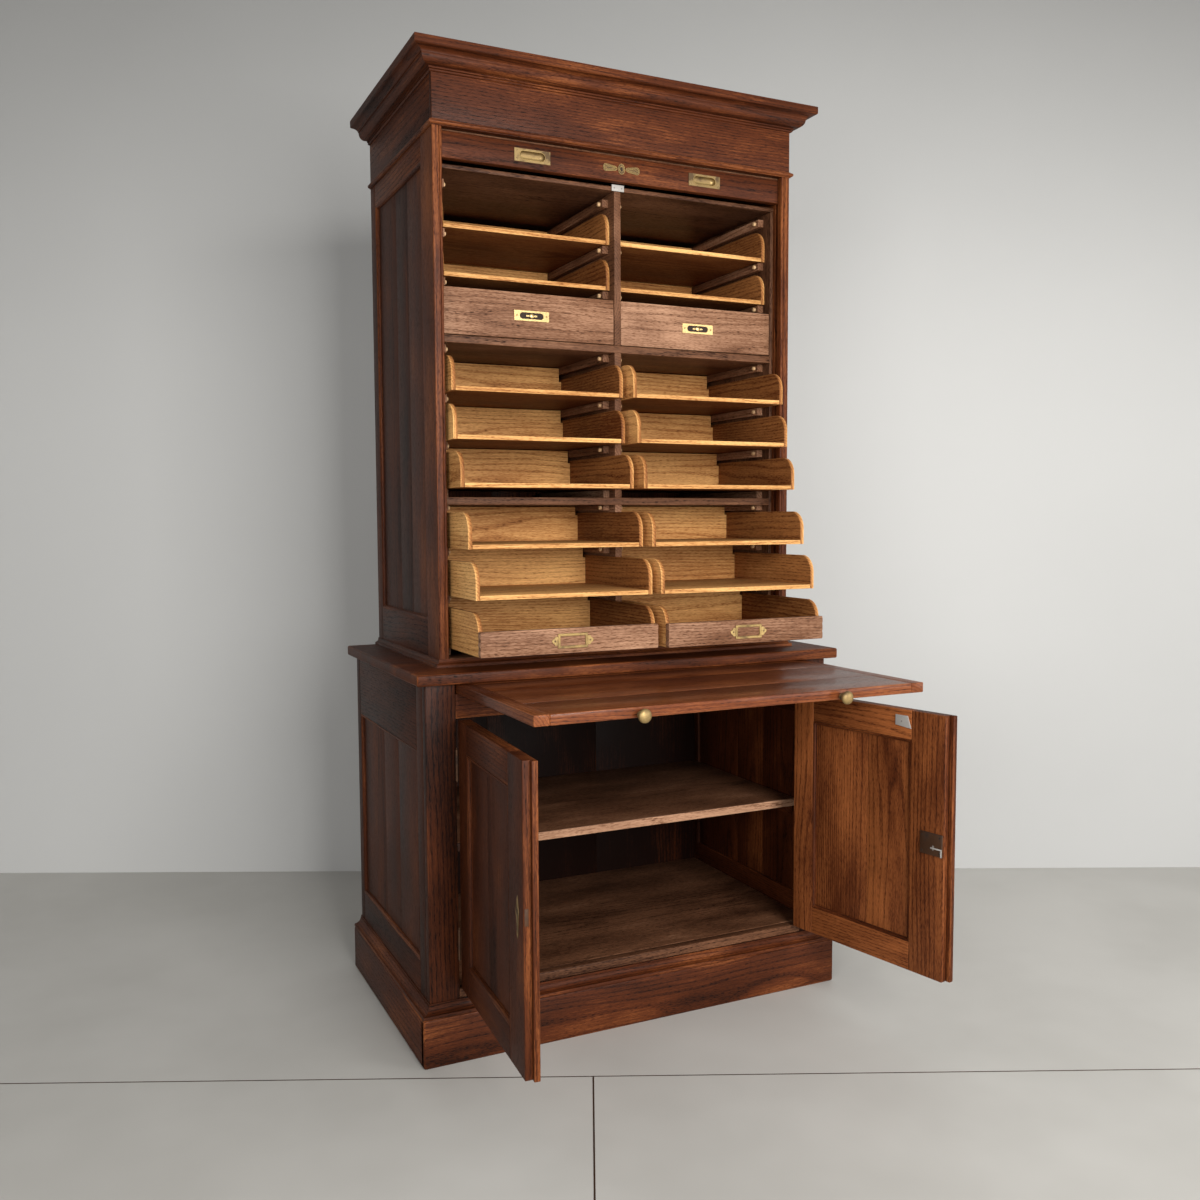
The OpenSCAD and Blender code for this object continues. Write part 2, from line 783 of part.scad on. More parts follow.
module door_frame(side) {
    color(dark_oak) hang(side) {
        slab([0, 0, door_z], [hinge_stile_w, door_t, door_top_z]);
        slab([door_w - meet_stile_w, 0, door_z], [door_w, door_t, door_top_z]);
        for (z = [door_z, door_top_z - door_rail_h])
            slab([hinge_stile_w + seam, 0, z],
                 [door_w - meet_stile_w - seam, door_t, z + door_rail_h]);
        if (side < 0) slab([door_w + seam, (door_t + meet_gap) / 2, door_z],
                           [door_w + lap, door_t, door_top_z]);
        else slab([door_w + seam, 0, door_z],
                  [door_w + lap, (door_t - meet_gap) / 2, door_top_z]);
    }
}

module door_panel(side) {
    color(oak) hang(side)
        slab([hinge_stile_w + seam, door_panel_recess, door_z + door_rail_h + seam],
             [door_w - meet_stile_w - seam, door_panel_recess + door_panel_t,
              door_top_z - door_rail_h - seam]);
}

key_inset = 32;
case_l = 54;
case_h = 46;
case_t = 4;
case_rise = 8;
catch_l = 40;
catch_h = 26;
catch_inset = 84;
catch_drop = 12;

// Hinge leaves, key plate and lock; the right door also has a steel catch plate at its top
module door_fittings(side) {
    color("darkslategray") hang(side) {
        translate([door_w - key_inset, 0, door_mid_z]) facing(-plate_t, plate_t)
            difference() {
                rotate(90) oblong(76, 18);
                circle(d = 5);
                translate([-1.2, -8]) square([2.4, 8]);
            }
        slab([door_w - case_l - 2, door_t, door_mid_z + case_rise - case_h / 2],
             [door_w - 2, door_t + case_t, door_mid_z + case_rise + case_h / 2]);
        if (side > 0)
            slab([door_w - catch_inset - catch_l, door_t, door_top_z - catch_drop - catch_h],
                 [door_w - catch_inset, door_t + 2, door_top_z - catch_drop]);
        for (z = hinge_zs) slab([-leaf_t, 1, z], [0, door_t - 3, z + leaf_h]);
    }
}

// Fixed leaves on the stiles, with the knuckles in front of them
module hinges() {
    color("darkslategray") both_sides() for (z = hinge_zs) {
        slab([opening_x - leaf_t, base_front_y + seam, z],
             [opening_x, base_front_y + frame_t - 3, z + leaf_h]);
        translate([opening_x, hinge_y, z]) cylinder(r = knuckle_r, h = leaf_h);
    }
}

// --- Sub-parts ----------------------------------------------------------------------------------------
for (i = [1:len(tray_z)]) {
    tray(-1, i);
    tray(1, i);
}
drawer(-1);  // drawer_left
drawer(1);  // drawer_right
drawer_plate(-1);  // drawer_plate_left
drawer_plate(1);  // drawer_plate_right
card_holder(-1);  // card_holder_left
card_holder(1);  // card_holder_right
lead_rail();
rail_pulls();
rail_escutcheon();
rail_lock();
front_slats();
strike_plate();
stored_slats();
upper_sides();
side_panels();
inner_uprights();
cross_shelves();
upper_boards();
upper_back();
frieze();
astragal();
cornice();
foot_moulding();
runners();
runner_pegs();
base_sides();
top_board();
slide_rails();
base_bottom();
base_back();
plinth();
plinth_moulding();
cupboard_shelf();
shelf_cleats();
hinges();
writing_slide();
slide_knobs();
door_frame(-1);  // door_left
door_panel(-1);  // door_panel_left
door_fittings(-1);  // door_fittings_left
door_frame(1);  // door_right
door_panel(1);  // door_panel_right
door_fittings(1);  // door_fittings_right
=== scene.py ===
# %% [markdown]
# # An oak filing cabinet with a roller shutter
#
# The cabinet stands in two parts: a cupboard with a writing slide, and above it a tall case
# whose shutter runs up over the top and uncovers sixteen paper trays and two drawers.
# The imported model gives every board's place. This lesson dresses those boards: it gives them
# rounded edges, mouldings, grain that runs along each board, and real brass and iron fittings.

import json
import math
import zlib

import bmesh
import bpy
import numpy as np
from mathutils import Matrix, Vector


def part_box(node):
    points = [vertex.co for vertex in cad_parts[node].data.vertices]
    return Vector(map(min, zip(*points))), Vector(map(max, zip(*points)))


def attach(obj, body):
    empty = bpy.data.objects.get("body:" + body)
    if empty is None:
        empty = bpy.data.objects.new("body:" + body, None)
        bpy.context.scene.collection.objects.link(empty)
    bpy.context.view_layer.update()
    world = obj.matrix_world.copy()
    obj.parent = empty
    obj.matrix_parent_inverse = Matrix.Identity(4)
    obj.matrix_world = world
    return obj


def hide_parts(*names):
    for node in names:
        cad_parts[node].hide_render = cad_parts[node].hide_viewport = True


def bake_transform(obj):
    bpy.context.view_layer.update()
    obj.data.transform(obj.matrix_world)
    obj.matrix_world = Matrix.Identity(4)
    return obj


MM = 0.001
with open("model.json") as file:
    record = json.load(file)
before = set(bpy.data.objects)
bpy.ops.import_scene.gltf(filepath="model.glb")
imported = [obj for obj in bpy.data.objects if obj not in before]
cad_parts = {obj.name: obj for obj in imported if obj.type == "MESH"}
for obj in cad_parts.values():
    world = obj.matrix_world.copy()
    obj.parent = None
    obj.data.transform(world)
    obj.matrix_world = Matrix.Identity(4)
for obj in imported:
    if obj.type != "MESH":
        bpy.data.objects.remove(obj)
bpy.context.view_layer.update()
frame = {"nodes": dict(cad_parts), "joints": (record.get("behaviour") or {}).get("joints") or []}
joints = {joint["name"]: joint for joint in frame["joints"]}
print("pieces in the packed model:", len(frame["nodes"]))

# %% [markdown]
# ## Reading boards out of the model
#
# Each node of the model holds one or more separate solids. The new pieces take their places
# from those solids, so nothing is measured twice: a solid is found by following triangles that
# share corners, and its box is where a board goes. A door is read as it stands when closed,
# by turning its corners back about the hinge pin, because a board is easiest to make square.


# %% Boxes of the solids in a node
def turning(joint, value):
    """The 4 by 4 matrix that turns a body about its hinge by value radians."""
    pin = Matrix.Translation(joint["pos_m"])
    return np.array(pin @ Matrix.Rotation(value, 4, joint["axis"]) @ pin.inverted())


def moved(points, matrix):
    """Points multiplied by the matrix's turn, plus its shift."""
    return points @ matrix[:3, :3].T + matrix[:3, 3]


def solids(node, matrix=None):
    """Boxes (lowest corner, highest corner) of a node's separate solids, sorted by place.

    Each corner starts with its own label. Every triangle then gives its three corners the
    smallest of their labels, and this is repeated until no label changes."""
    mesh = frame["nodes"][node].data
    places = np.zeros(len(mesh.vertices) * 3)
    mesh.vertices.foreach_get("co", places)
    places = places.reshape(-1, 3)
    if matrix is not None:
        places = moved(places, matrix)
    mesh.calc_loop_triangles()
    triangles = np.zeros(len(mesh.loop_triangles) * 3, int)
    mesh.loop_triangles.foreach_get("vertices", triangles)
    same, index = np.unique(np.round(places, 6), axis=0, return_inverse=True)
    triangles = index.reshape(-1)[triangles].reshape(-1, 3)
    label = np.arange(len(same))
    while True:
        smallest = label.copy()
        np.minimum.at(smallest, triangles.ravel(), label[triangles].min(1).repeat(3))
        if (smallest == label).all():
            break
        label = smallest
    boxes = [(same[label == k].min(0), same[label == k].max(0)) for k in np.unique(label)]
    return sorted(boxes, key=lambda box: tuple(np.round(np.concatenate(box), 4)))


def corners(node):
    """Lowest and highest corner of a whole node, as arrays."""
    return tuple(np.array(corner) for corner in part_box(node))


print("boards in the left door:", len(solids("door_left")))

# %% [markdown]
# ## A piece of joinery
#
# A piece is a set of skins. Each skin is a stack of rings of points, and quads join each ring to
# the next. Besides its place, a point carries what the wood needs to know: where it lies in the
# log that the board was sawn from, how light the board is, and how worn the spot is. On wood this
# wear on rounded edges also stands for a painted highlight, and in the pull cups it is painted
# shade. The log's pith is the line where the second and third wood coordinates are zero, so a
# board's growth rings are circles about that line, and they run on round every edge and show on
# the end grain.

# %% The piece and its rings
QUARTER = np.linspace(0, math.pi / 2, 4)
SHARP = math.radians(38)
print("points in a rounded corner:", len(QUARTER))


class Piece:
    """Skins that are gathered one by one and then made into a single object."""

    def __init__(self, name):
        self.name = name
        self.chance = np.random.default_rng(zlib.crc32(name.encode()))
        self.places, self.grains, self.tones, self.wears_and_painted_light = [], [], [], []
        self.quads, self.flats, self.caps = [], [], []
        self.count = 0

    def skin(self, rings, grains=None, tone=0.5, wear=0.0, flat=False, ends=True, loop=False):
        """Joins rings, an array of shape (rings, points, 3), with quads. ends closes the first
        and the last ring, and loop joins the last ring back to the first."""
        rings = np.asarray(rings, float)
        shape = rings.shape[:2]
        numbers = self.count + np.arange(shape[0] * shape[1]).reshape(shape)
        self.count += numbers.size
        self.places.append(rings.reshape(-1, 3))
        self.grains.append((rings if grains is None else grains).reshape(-1, 3))
        self.tones.append(np.broadcast_to(tone, shape).ravel())
        self.wears_and_painted_light.append(np.broadcast_to(wear, shape).ravel())
        if loop:
            numbers = np.vstack([numbers, numbers[:1]])
        ahead = np.roll(numbers, -1, axis=1)
        quads = np.stack([numbers[:-1], ahead[:-1], ahead[1:], numbers[1:]], axis=-1)
        self.quads.append(quads.reshape(-1, 4))
        self.flats.append(np.broadcast_to(flat, quads.shape[:2]).ravel())
        if ends and not loop:
            self.caps += [numbers[0][::-1].tolist(), numbers[-1].tolist()]

    def in_log(self, places, low, high, along):
        """Wood coordinates: the distance from the board's middle along the grain, across the
        board's width and through its thickness, moved to a random spot in the log."""
        size = high - low
        rest = sorted((a for a in range(3) if a != along), key=lambda a: -size[a])
        local = (places - (low + high) / 2)[..., [along, *rest]]
        sawn = self.chance.uniform(0.35, 1.45)
        reach = self.chance.uniform(0.05, 0.14)
        spot = [self.chance.uniform(0, 30), reach * math.cos(sawn), reach * math.sin(sawn)]
        return local + np.array(spot)

    def shade(self, tone, spread=0.10):
        """The board's own lightness: the wanted tone, a little up or down by chance."""
        return tone + self.chance.normal(0, spread)

    def make(self, body, finish, slot, replaces=(), matrix=None):
        """One object with all skins in it, its faces pointing outwards, riding on a body."""
        places = np.concatenate(self.places)
        if matrix is not None:
            places = moved(places, matrix)
        mesh = bpy.data.meshes.new(self.name)
        mesh.from_pydata(places.tolist(), [], np.concatenate(self.quads).tolist() + self.caps)
        flat = np.concatenate([*self.flats, np.ones(len(self.caps), bool)])
        mesh.polygons.foreach_set("use_smooth", ~flat)
        grain = mesh.attributes.new("grain", "FLOAT_VECTOR", "POINT")
        grain.data.foreach_set("vector", np.concatenate(self.grains).astype("f4").ravel())
        for name, values in (("tone", self.tones), ("wear", self.wears_and_painted_light)):
            values = np.concatenate(values).astype("f4")
            mesh.attributes.new(name, "FLOAT", "POINT").data.foreach_set("value", values)
        shell = bmesh.new()
        shell.from_mesh(mesh)
        bmesh.ops.recalc_face_normals(shell, faces=shell.faces)
        shell.to_mesh(mesh)
        shell.free()
        mesh.set_sharp_from_angle(angle=SHARP)
        obj = bpy.data.objects.new(self.name, mesh)
        bpy.context.scene.collection.objects.link(obj)
        mesh.materials.append(finish)
        if replaces:
            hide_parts(*replaces)
        if body:
            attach(obj, body)
        return obj


# %% [markdown]
# ## Boards, cut shapes and sections
#
# Three ways of cutting wood cover almost all of the cabinet. A board is a rounded box. A cut
# shape is an outline with a thickness, such as a tray's side. A section is a profile carried
# straight on, such as a stile with a bead and a groove. Bevel modifiers could round the edges,
# but a quarter circle built into the rings keeps the wide faces perfectly flat and light.


# %% A board with rounded edges
def board(piece, low, high, along=None, edge=1.0 * MM, tone=0.5, spread=0.10):
    """A rounded box. Its section is a rectangle with a quarter circle at each corner. Near both
    ends the section shrinks by edge times one minus the cosine of an angle, while the distance
    from the end is edge times one minus its sine, which rounds the end's edges too."""
    low, high = np.array(low, float), np.array(high, float)
    size = high - low
    along = int(np.argmax(size)) if along is None else along
    side, over = (along + 1) % 3, (along + 2) % 3
    edge = min(edge, 0.4 * size.min())
    turn = (np.arange(4)[:, None] * math.pi / 2 + QUARTER).ravel()
    sign = np.array([[1, 1], [-1, 1], [-1, -1], [1, -1]]).repeat(len(QUARTER), axis=0)
    lean = np.concatenate([QUARTER[::-1], QUARTER])
    radius = edge * np.maximum(np.cos(lean), 0.15)
    step = edge * (1 - np.sin(lean))
    half = len(QUARTER)
    station = np.concatenate([low[along] + step[:half], high[along] - step[half:]])
    section = sign * (size[[side, over]] / 2 - edge)
    circle = np.stack([np.cos(turn), np.sin(turn)], axis=-1)
    ring = section[None] + radius[:, None, None] * circle[None]
    places = np.empty((len(station), len(turn), 3))
    places[..., along] = station[:, None]
    places[..., side] = (low[side] + high[side]) / 2 + ring[..., 0]
    places[..., over] = (low[over] + high[over]) / 2 + ring[..., 1]
    flat = np.zeros((len(station) - 1, len(turn)), bool)
    flat[half - 1, half - 1 :: half] = True
    # The wear mask is highest on the rounded edges, where oak lightens it, partly as a painted
    # highlight.
    wear = np.maximum(np.sin(2 * lean)[:, None], np.tile(np.sin(2 * QUARTER), 4)[None])
    grains = piece.in_log(places, low, high, along)
    piece.skin(places, grains, piece.shade(tone, spread), wear, flat)


# %% Outlines and shapes cut from them
def inward(outline):
    """For each corner of an outline that runs anticlockwise, the step that moves it one unit
    inside both of its edges: the sum of the edges' normals over one plus their dot product."""
    edges = np.roll(outline, -1, axis=0) - outline
    edges /= np.linalg.norm(edges, axis=1, keepdims=True)
    after = np.stack([-edges[:, 1], edges[:, 0]], axis=1)
    before = np.roll(after, 1, axis=0)
    return (before + after) / (1 + (before * after).sum(1, keepdims=True))


def cut(
    piece, outline, axis, start, end, along=None, edge=0.8 * MM, tones=(0.5, 0.5), spread=0.1
):
    """A flat shape with a thickness along axis. The outline is in the two axes that come after
    axis in the order X, Y, Z, X. Near each face it steps in by a quarter circle. The tone runs
    from the first of tones on the start face to the second on the end face."""
    outline = np.array(outline, float)
    lean = np.concatenate([QUARTER[::-1], QUARTER])
    inset = edge * (1 - np.cos(lean))
    step = edge * (1 - np.sin(lean))
    half = len(QUARTER)
    station = np.concatenate([start + step[:half], end - step[half:]])
    flat_shape = outline[None] + inset[:, None, None] * inward(outline)[None]
    side, over = (axis + 1) % 3, (axis + 2) % 3
    places = np.empty((len(station), len(outline), 3))
    places[..., axis] = station[:, None]
    places[..., side] = flat_shape[..., 0]
    places[..., over] = flat_shape[..., 1]
    low, high = places.min((0, 1)), places.max((0, 1))
    along = int(np.argmax(high - low)) if along is None else along
    share = (station - start) / (end - start)
    shade = piece.shade(0, spread) + tones[0] + (tones[1] - tones[0]) * share
    grains = piece.in_log(places, low, high, along)
    wear = np.sin(2 * lean)[:, None] * np.ones(len(outline))
    piece.skin(places, grains, shade[:, None], wear)


def arc(centre, radius, start, end, count=8):
    """Points of an arc: the centre plus the radius times the cosine and sine of each angle."""
    turn = np.radians(np.linspace(start, end, count + 1))
    return np.array(centre) + radius * np.stack([np.cos(turn), np.sin(turn)], axis=1)


def joined(*parts):
    """Points and arcs put one after the other into one outline."""
    return np.concatenate([np.atleast_2d(np.array(part, float)) for part in parts])


# %% Strips carried round an opening and round a case
def strip(piece, first, last, along, tone):
    """A straight length of moulding between two ends, each an array of the profile's points."""
    places = np.stack([first, last])
    low, high = places.min((0, 1)), places.max((0, 1))
    piece.skin(places, piece.in_log(places, low, high, along), piece.shade(tone, 0.05))


def bead_round(piece, low, high, axis, face, rise, profile, tone=0.5):
    """A moulding inside a rectangle, mitred at its corners. The profile is a list of
    (inset from the rectangle's edge, height over face); rise is +1 or -1, the side of the face
    that the moulding stands on."""
    side, over = (axis + 1) % 3, (axis + 2) % 3
    inset, height = np.array(profile, float).T
    at = []
    for across, up in ((1, 1), (-1, 1), (-1, -1), (1, -1)):
        places = np.empty((len(inset), 3))
        places[:, axis] = face + rise * height
        places[:, side] = (low if across > 0 else high)[side] + across * inset
        places[:, over] = (low if up > 0 else high)[over] + up * inset
        at.append(places)
    for k in range(4):
        strip(piece, at[k], at[(k + 1) % 4], side if k % 2 == 0 else over, tone)


def moulding(piece, half_width, front, back, profile, tone=0.5):
    """A moulding round the front and both sides of a case, mitred at the front corners. The
    profile is a list of (distance out from the case, height)."""
    out, height = np.array(profile, float).T
    at = []
    spots = ((-1, back, -1, 0), (-1, front, -1, -1), (1, front, 1, -1), (1, back, 1, 0))
    for x, y, right, away in spots:
        line = [x * half_width + right * out, y + away * out, height]
        at.append(np.stack(np.broadcast_arrays(*line), axis=1))
    for k, along in enumerate((1, 0, 1)):
        strip(piece, at[k], at[k + 1], along, tone)


# %% [markdown]
# ## Metalwork shapes
#
# Brass and iron fittings are turned, pressed or cut from sheet. A turned shape is a profile
# spun round an axis. A pressed cup and a pierced plate are rings of points that change from one
# outline to the next. Engraved lines are thin round wires laid along an outline.


# %% Turned shapes, wires, pierced plates
def frame_of(axis):
    """Two directions square to an axis and to each other."""
    axis = np.array(axis, float)
    helper = np.array([0, 0, 1.0]) if abs(axis[2]) < 0.9 else np.array([0, 1.0, 0])
    first = np.cross(helper, axis)
    first /= np.linalg.norm(first)
    return first, np.cross(axis, first)


def turned(piece, profile, centre, axis, sides=24, wear=0.0):
    """A profile of (radius, height) spun round an axis through centre: each ring is the centre,
    plus the height along the axis, plus the radius round it."""
    radius, height = np.array(profile, float).T
    first, second = frame_of(axis)
    turn = np.arange(sides) * 2 * math.pi / sides
    circle = np.cos(turn)[:, None] * first + np.sin(turn)[:, None] * second
    rings = np.array(centre) + height[:, None, None] * np.array(axis, float)
    piece.skin(rings + radius[:, None, None] * circle, wear=wear)


def wire(piece, path, normal, radius, wear=0.0):
    """A round wire along a closed flat path: six points in the directions of the path's side
    and of its normal."""
    path, normal = np.array(path, float), np.array(normal, float)
    ahead = np.roll(path, -1, axis=0) - np.roll(path, 1, axis=0)
    ahead /= np.linalg.norm(ahead, axis=1, keepdims=True)
    across = np.cross(normal, ahead)
    turn = np.arange(6) * 2 * math.pi / 6
    rings = path[:, None] + radius * (
        np.cos(turn)[None, :, None] * across[:, None] + np.sin(turn)[None, :, None] * normal
    )
    piece.skin(rings, wear=wear, loop=True)


def oblong(length, height, count=48):
    """An outline of two half circles joined by straight lines. Each point's angle gives both its
    place on the half circle and which end it belongs to."""
    turn = (np.arange(count) + 0.5) * 2 * math.pi / count
    shift = np.sign(np.cos(turn)) * (length - height) / 2
    return np.stack([shift + height / 2 * np.cos(turn), height / 2 * np.sin(turn)], axis=1)


def rectangle_like(outline, length, height):
    """A rectangle with as many points as the outline: each point is pushed straight out from
    the middle to the rectangle, and the nearest one to each corner is put on the corner."""
    scale = np.maximum(np.abs(outline[:, 0]) / (length / 2), np.abs(outline[:, 1]) / (height / 2))
    points = outline / scale[:, None]
    for corner in ((1, 1), (-1, 1), (-1, -1), (1, -1)):
        corner = np.array(corner) * (length / 2, height / 2)
        points[np.argmin(np.linalg.norm(points - corner, axis=1))] = corner
    return points


def on_face(points, centre, axis, depth):
    """Flat points put on a face: the first coordinate runs sideways, the second up, and depth
    is the height over the face along axis. Works on faces that look along X or Y."""
    right = np.array([-axis[1], axis[0], 0.0])
    points = np.asarray(points, float)
    level = np.broadcast_to(np.asarray(depth, float)[..., None, None], (*points.shape[:-1], 1))
    flat = points[..., :1] * right + points[..., 1:] * np.array([0, 0, 1.0])
    return np.array(centre) + flat + level * np.array(axis, float)


def pierced(piece, outer, inner, centre, axis, thick, edge=0.3 * MM, wear=0.0):
    """A plate with a hole. Its rings run from the outer outline's back over its rounded front
    edge to the hole's edge and down to the back again, and close on themselves."""
    steps = [(outer, 0), (outer, thick - edge), (outer + edge * inward(outer), thick),
             (inner - edge * inward(inner), thick), (inner, thick - edge), (inner, 0)]
    rings = np.stack([on_face(ring, centre, axis, depth) for ring, depth in steps])
    piece.skin(rings, wear=wear, loop=True)


def plate(piece, outline, centre, axis, thick, edge=0.3 * MM, wear=0.0):
    """A plate without a hole, with a rounded front edge."""
    steps = [(outline, 0), (outline, thick - edge), (outline + edge * inward(outline), thick)]
    rings = np.stack([on_face(ring, centre, axis, depth) for ring, depth in steps])
    piece.skin(rings, wear=wear)


def screw(piece, centre, axis, radius=2.0 * MM, lean=0.6, proud=0.4 * MM):
    """A slotted countersunk screw: a low turned dome, and a dark bar for the slot."""
    dome = [(radius, 0), (radius, 0.35 * proud), (0.6 * radius, 0.85 * proud), (0.1 * MM, proud)]
    turned(piece, dome, centre, axis, sides=16, wear=0.6)
    slot = np.array([[-1, -0.16], [1, -0.16], [1, 0.16], [-1, 0.16]]) * 0.9 * radius
    swing = np.array([[math.cos(lean), math.sin(lean)], [-math.sin(lean), math.cos(lean)]])
    plate(piece, slot @ swing, centre, axis, 1.12 * proud, edge=0.1 * proud, wear=1.0)


# %% [markdown]
# ## Shader maths
#
# A finish is a node tree. Writing it node by node hides the idea, so a small class wraps a
# socket and lets Python's own operators add the Math nodes. Every other node comes from one
# method: its type, its settings, which are set first, and its inputs.


# %% Sockets that can be added and multiplied
class Value:
    """A socket of a finish. An operator on it adds one Math node and gives its result."""

    def __init__(self, finish, socket):
        self.finish, self.socket = finish, socket

    def math(self, operation, *inputs, clamp=False):
        settings = {"operation": operation, "use_clamp": clamp}
        return self.finish.add("ShaderNodeMath", settings, dict(enumerate(inputs)))

    def __add__(self, other):
        return self.math("ADD", self, other)

    def __sub__(self, other):
        return self.math("SUBTRACT", self, other)

    def __rsub__(self, other):
        return self.math("SUBTRACT", other, self)

    def __mul__(self, other):
        return self.math("MULTIPLY", self, other)

    def fract(self):
        return self.math("FRACT", self)

    def clip(self):
        """The value, kept between 0 and 1."""
        return self.math("ADD", self, 0.0, clamp=True)

    def between(self, low, high):
        """0 below low, 1 above high, and smooth in between."""
        ends = {"From Min": low, "From Max": high}
        return self.finish.add(
            "ShaderNodeMapRange", {"interpolation_type": "SMOOTHSTEP"}, {"Value": self, **ends}
        )

    __radd__, __rmul__ = __add__, __mul__


class Finish:
    """A material whose nodes are added by calls."""

    def __init__(self, name):
        self.material = bpy.data.materials.new(name)
        self.material.use_nodes = True
        self.tree = self.material.node_tree
        self.tree.nodes.clear()

    def add(self, kind, settings=None, inputs=None, output=0):
        """Adds a node, sets its settings and stops, and fills or links its inputs."""
        node = self.tree.nodes.new(kind)
        for key, value in (settings or {}).items():
            if key == "stops":
                ramp = node.color_ramp
                while len(ramp.elements) < len(value):
                    ramp.elements.new(0.5)
                for element, (position, colour) in zip(ramp.elements, value):
                    element.position, element.color = position, (*colour, 1)
            else:
                setattr(node, key, value)
        for key, value in (inputs or {}).items():
            if isinstance(value, Value):
                self.tree.links.new(value.socket, node.inputs[key])
            else:
                node.inputs[key].default_value = value
        return Value(self, node.outputs[output]) if node.outputs else None

    def attribute(self, name, output="Fac"):
        return self.add("ShaderNodeAttribute", {"attribute_name": name}, output=output)

    def stretched(self, vector, scale):
        """The vector with each of its coordinates multiplied by its own scale."""
        return self.add("ShaderNodeMapping", None, {"Vector": vector, "Scale": scale})

    def noise(self, vector, scale, detail=2.0, rough=0.5):
        inputs = {"Vector": vector, "Scale": scale, "Detail": detail, "Roughness": rough}
        return self.add("ShaderNodeTexNoise", None, inputs)

    def ramp(self, value, *stops):
        return self.add("ShaderNodeValToRGB", {"stops": stops}, {"Fac": value})

    def surface(self, **sockets):
        """Ends the tree with a Principled shader, whose inputs are given by name."""
        inputs = {key.replace("_", " "): value for key, value in sockets.items()}
        shader = self.add("ShaderNodeBsdfPrincipled", None, inputs)
        self.add("ShaderNodeOutputMaterial", None, {"Surface": shader})
        return self.material


# %% [markdown]
# ## Oak
#
# Oak shows three things at once. Its growth rings are bands a few millimetres apart, and the
# pores of spring wood lie along each band as short dark dashes. Between them the fibres run as
# fine streaks, and over the whole board the stain takes a little darker here and lighter there.
# All of it is worked out from the wood coordinates: the distance from the pith gives the ring,
# and noise that is stretched along the grain gives pores and fibres.


# %% The oak finish
def oak(name, dark, middle, light, gloss, rings=0.48, pores=0.75, cloud=0.95, coat=0.0, bump=0.35):
    """Oak with three colours from pore to open grain. The lightness is one half, moved by the
    board's tone, by slow cloud and by streaks, and darkened by ring bands and by pores."""
    f = Finish(name)
    grain, tone, wear = f.attribute("grain", "Vector"), f.attribute("tone"), f.attribute("wear")
    cloudy = f.noise(f.stretched(grain, (3.6, 12, 12)), 1.0, 3.0, 0.55)
    wobble = f.noise(f.stretched(grain, (1.7, 9, 9)), 1.0, 2.0)
    split = f.add("ShaderNodeSeparateXYZ", None, {"Vector": grain})
    flat = f.stretched(grain, (0.0, 1, 1))
    pith = f.add("ShaderNodeVectorMath", {"operation": "LENGTH"}, {"Vector": flat}, "Value")
    ring = (pith * 165 + split * 0.6 + wobble * 5.0).fract()
    early = (1 - ring.between(0.0, 0.38)) * 0.8 + ring.between(0.88, 1.0) * 0.8
    streak = f.noise(f.stretched(grain, (13, 430, 430)), 1.0, 3.0, 0.6)
    fibre = f.noise(f.stretched(grain, (22, 760, 760)), 1.0, 2.0, 0.7)
    dash = f.noise(f.stretched(grain, (95, 900, 900)), 1.0, 1.0, 0.4)
    pore = dash.between(0.50, 0.64) * (early * 0.6 + 0.4)
    lightness = (
        0.53 + (tone - 0.5) * 0.9 + (cloudy - 0.5) * cloud + (streak - 0.5) * 0.42
        + (fibre - 0.5) * 0.4 - early * rings * 0.4 - pore * pores * 0.5
    )
    # Rounded edges are lightened in cloudy patches: partly real rubbed wear, partly a painted
    # highlight along the edges.
    rubbed_and_highlit = wear * cloudy.between(0.42, 0.62)
    colour = f.ramp((lightness + rubbed_and_highlit * 0.16).clip(), (0.0, dark), (0.5, middle), (1.0, light))
    roughness = (fibre * 0.16 + pore * 0.18 + cloudy * 0.12 + (gloss - 0.14)).clip()
    height = fibre * 0.25 - pore - early * 0.12
    normal = f.add("ShaderNodeBump", None, {"Strength": bump, "Distance": 0.0004, "Height": height})
    return f.surface(
        Base_Color=colour, Roughness=roughness, Normal=normal, Coat_Weight=coat,
        Coat_Roughness=0.16, Specular_IOR_Level=0.11,
    )


stained_oak = oak("stained_oak", (0.007, 0.0020, 0.001), (0.078, 0.019, 0.0055),
                  (0.33, 0.105, 0.030), gloss=0.50, coat=0.02)
polished_oak = oak("polished_oak", (0.018, 0.004, 0.002), (0.125, 0.032, 0.010),
                   (0.36, 0.12, 0.040), gloss=0.34, coat=0.2)
brown_oak = oak("brown_oak", (0.022, 0.007, 0.003), (0.165, 0.073, 0.037),
                (0.50, 0.285, 0.175), gloss=0.48, rings=0.32, pores=1.0)
golden_oak = oak("golden_oak", (0.085, 0.021, 0.005), (0.39, 0.165, 0.050),
                 (0.92, 0.54, 0.20), gloss=0.54, rings=0.45, cloud=0.5)


# %% [markdown]
# ## Metals and cloth
#
# Old brass is bright where hands rub it and brown where they don't; grime gathers round
# screws and in slots. One function covers brass, steel and iron: a clean colour, a tarnish
# colour, and cloudy noise that decides between them, helped along by each point's wear.


# %% Metal finishes, bare wood and canvas
def metal(name, clean, tarnish, gloss, grime_and_shade=0.5, metallic=1.0):
    """A metal whose tarnish is cloudy noise raised by grime and by the points' wear."""
    f = Finish(name)
    place = f.add("ShaderNodeTexCoord", output="Object")
    cloudy = f.noise(place, 38.0, 3.0, 0.5)
    fine = f.noise(place, 620.0, 2.0)
    amount = (cloudy.between(0.72 - 0.5 * grime_and_shade, 1.0 - 0.4 * grime_and_shade) + f.attribute("wear")).clip()
    colour = f.ramp(amount, (0.0, clean), (1.0, tarnish))
    roughness = (amount * 0.30 + fine * 0.14 + gloss).clip()
    normal = f.add("ShaderNodeBump", None, {"Strength": 0.25, "Distance": 0.0002, "Height": fine})
    return f.surface(
        Base_Color=colour, Metallic=metallic - amount * 0.45, Roughness=roughness, Normal=normal
    )


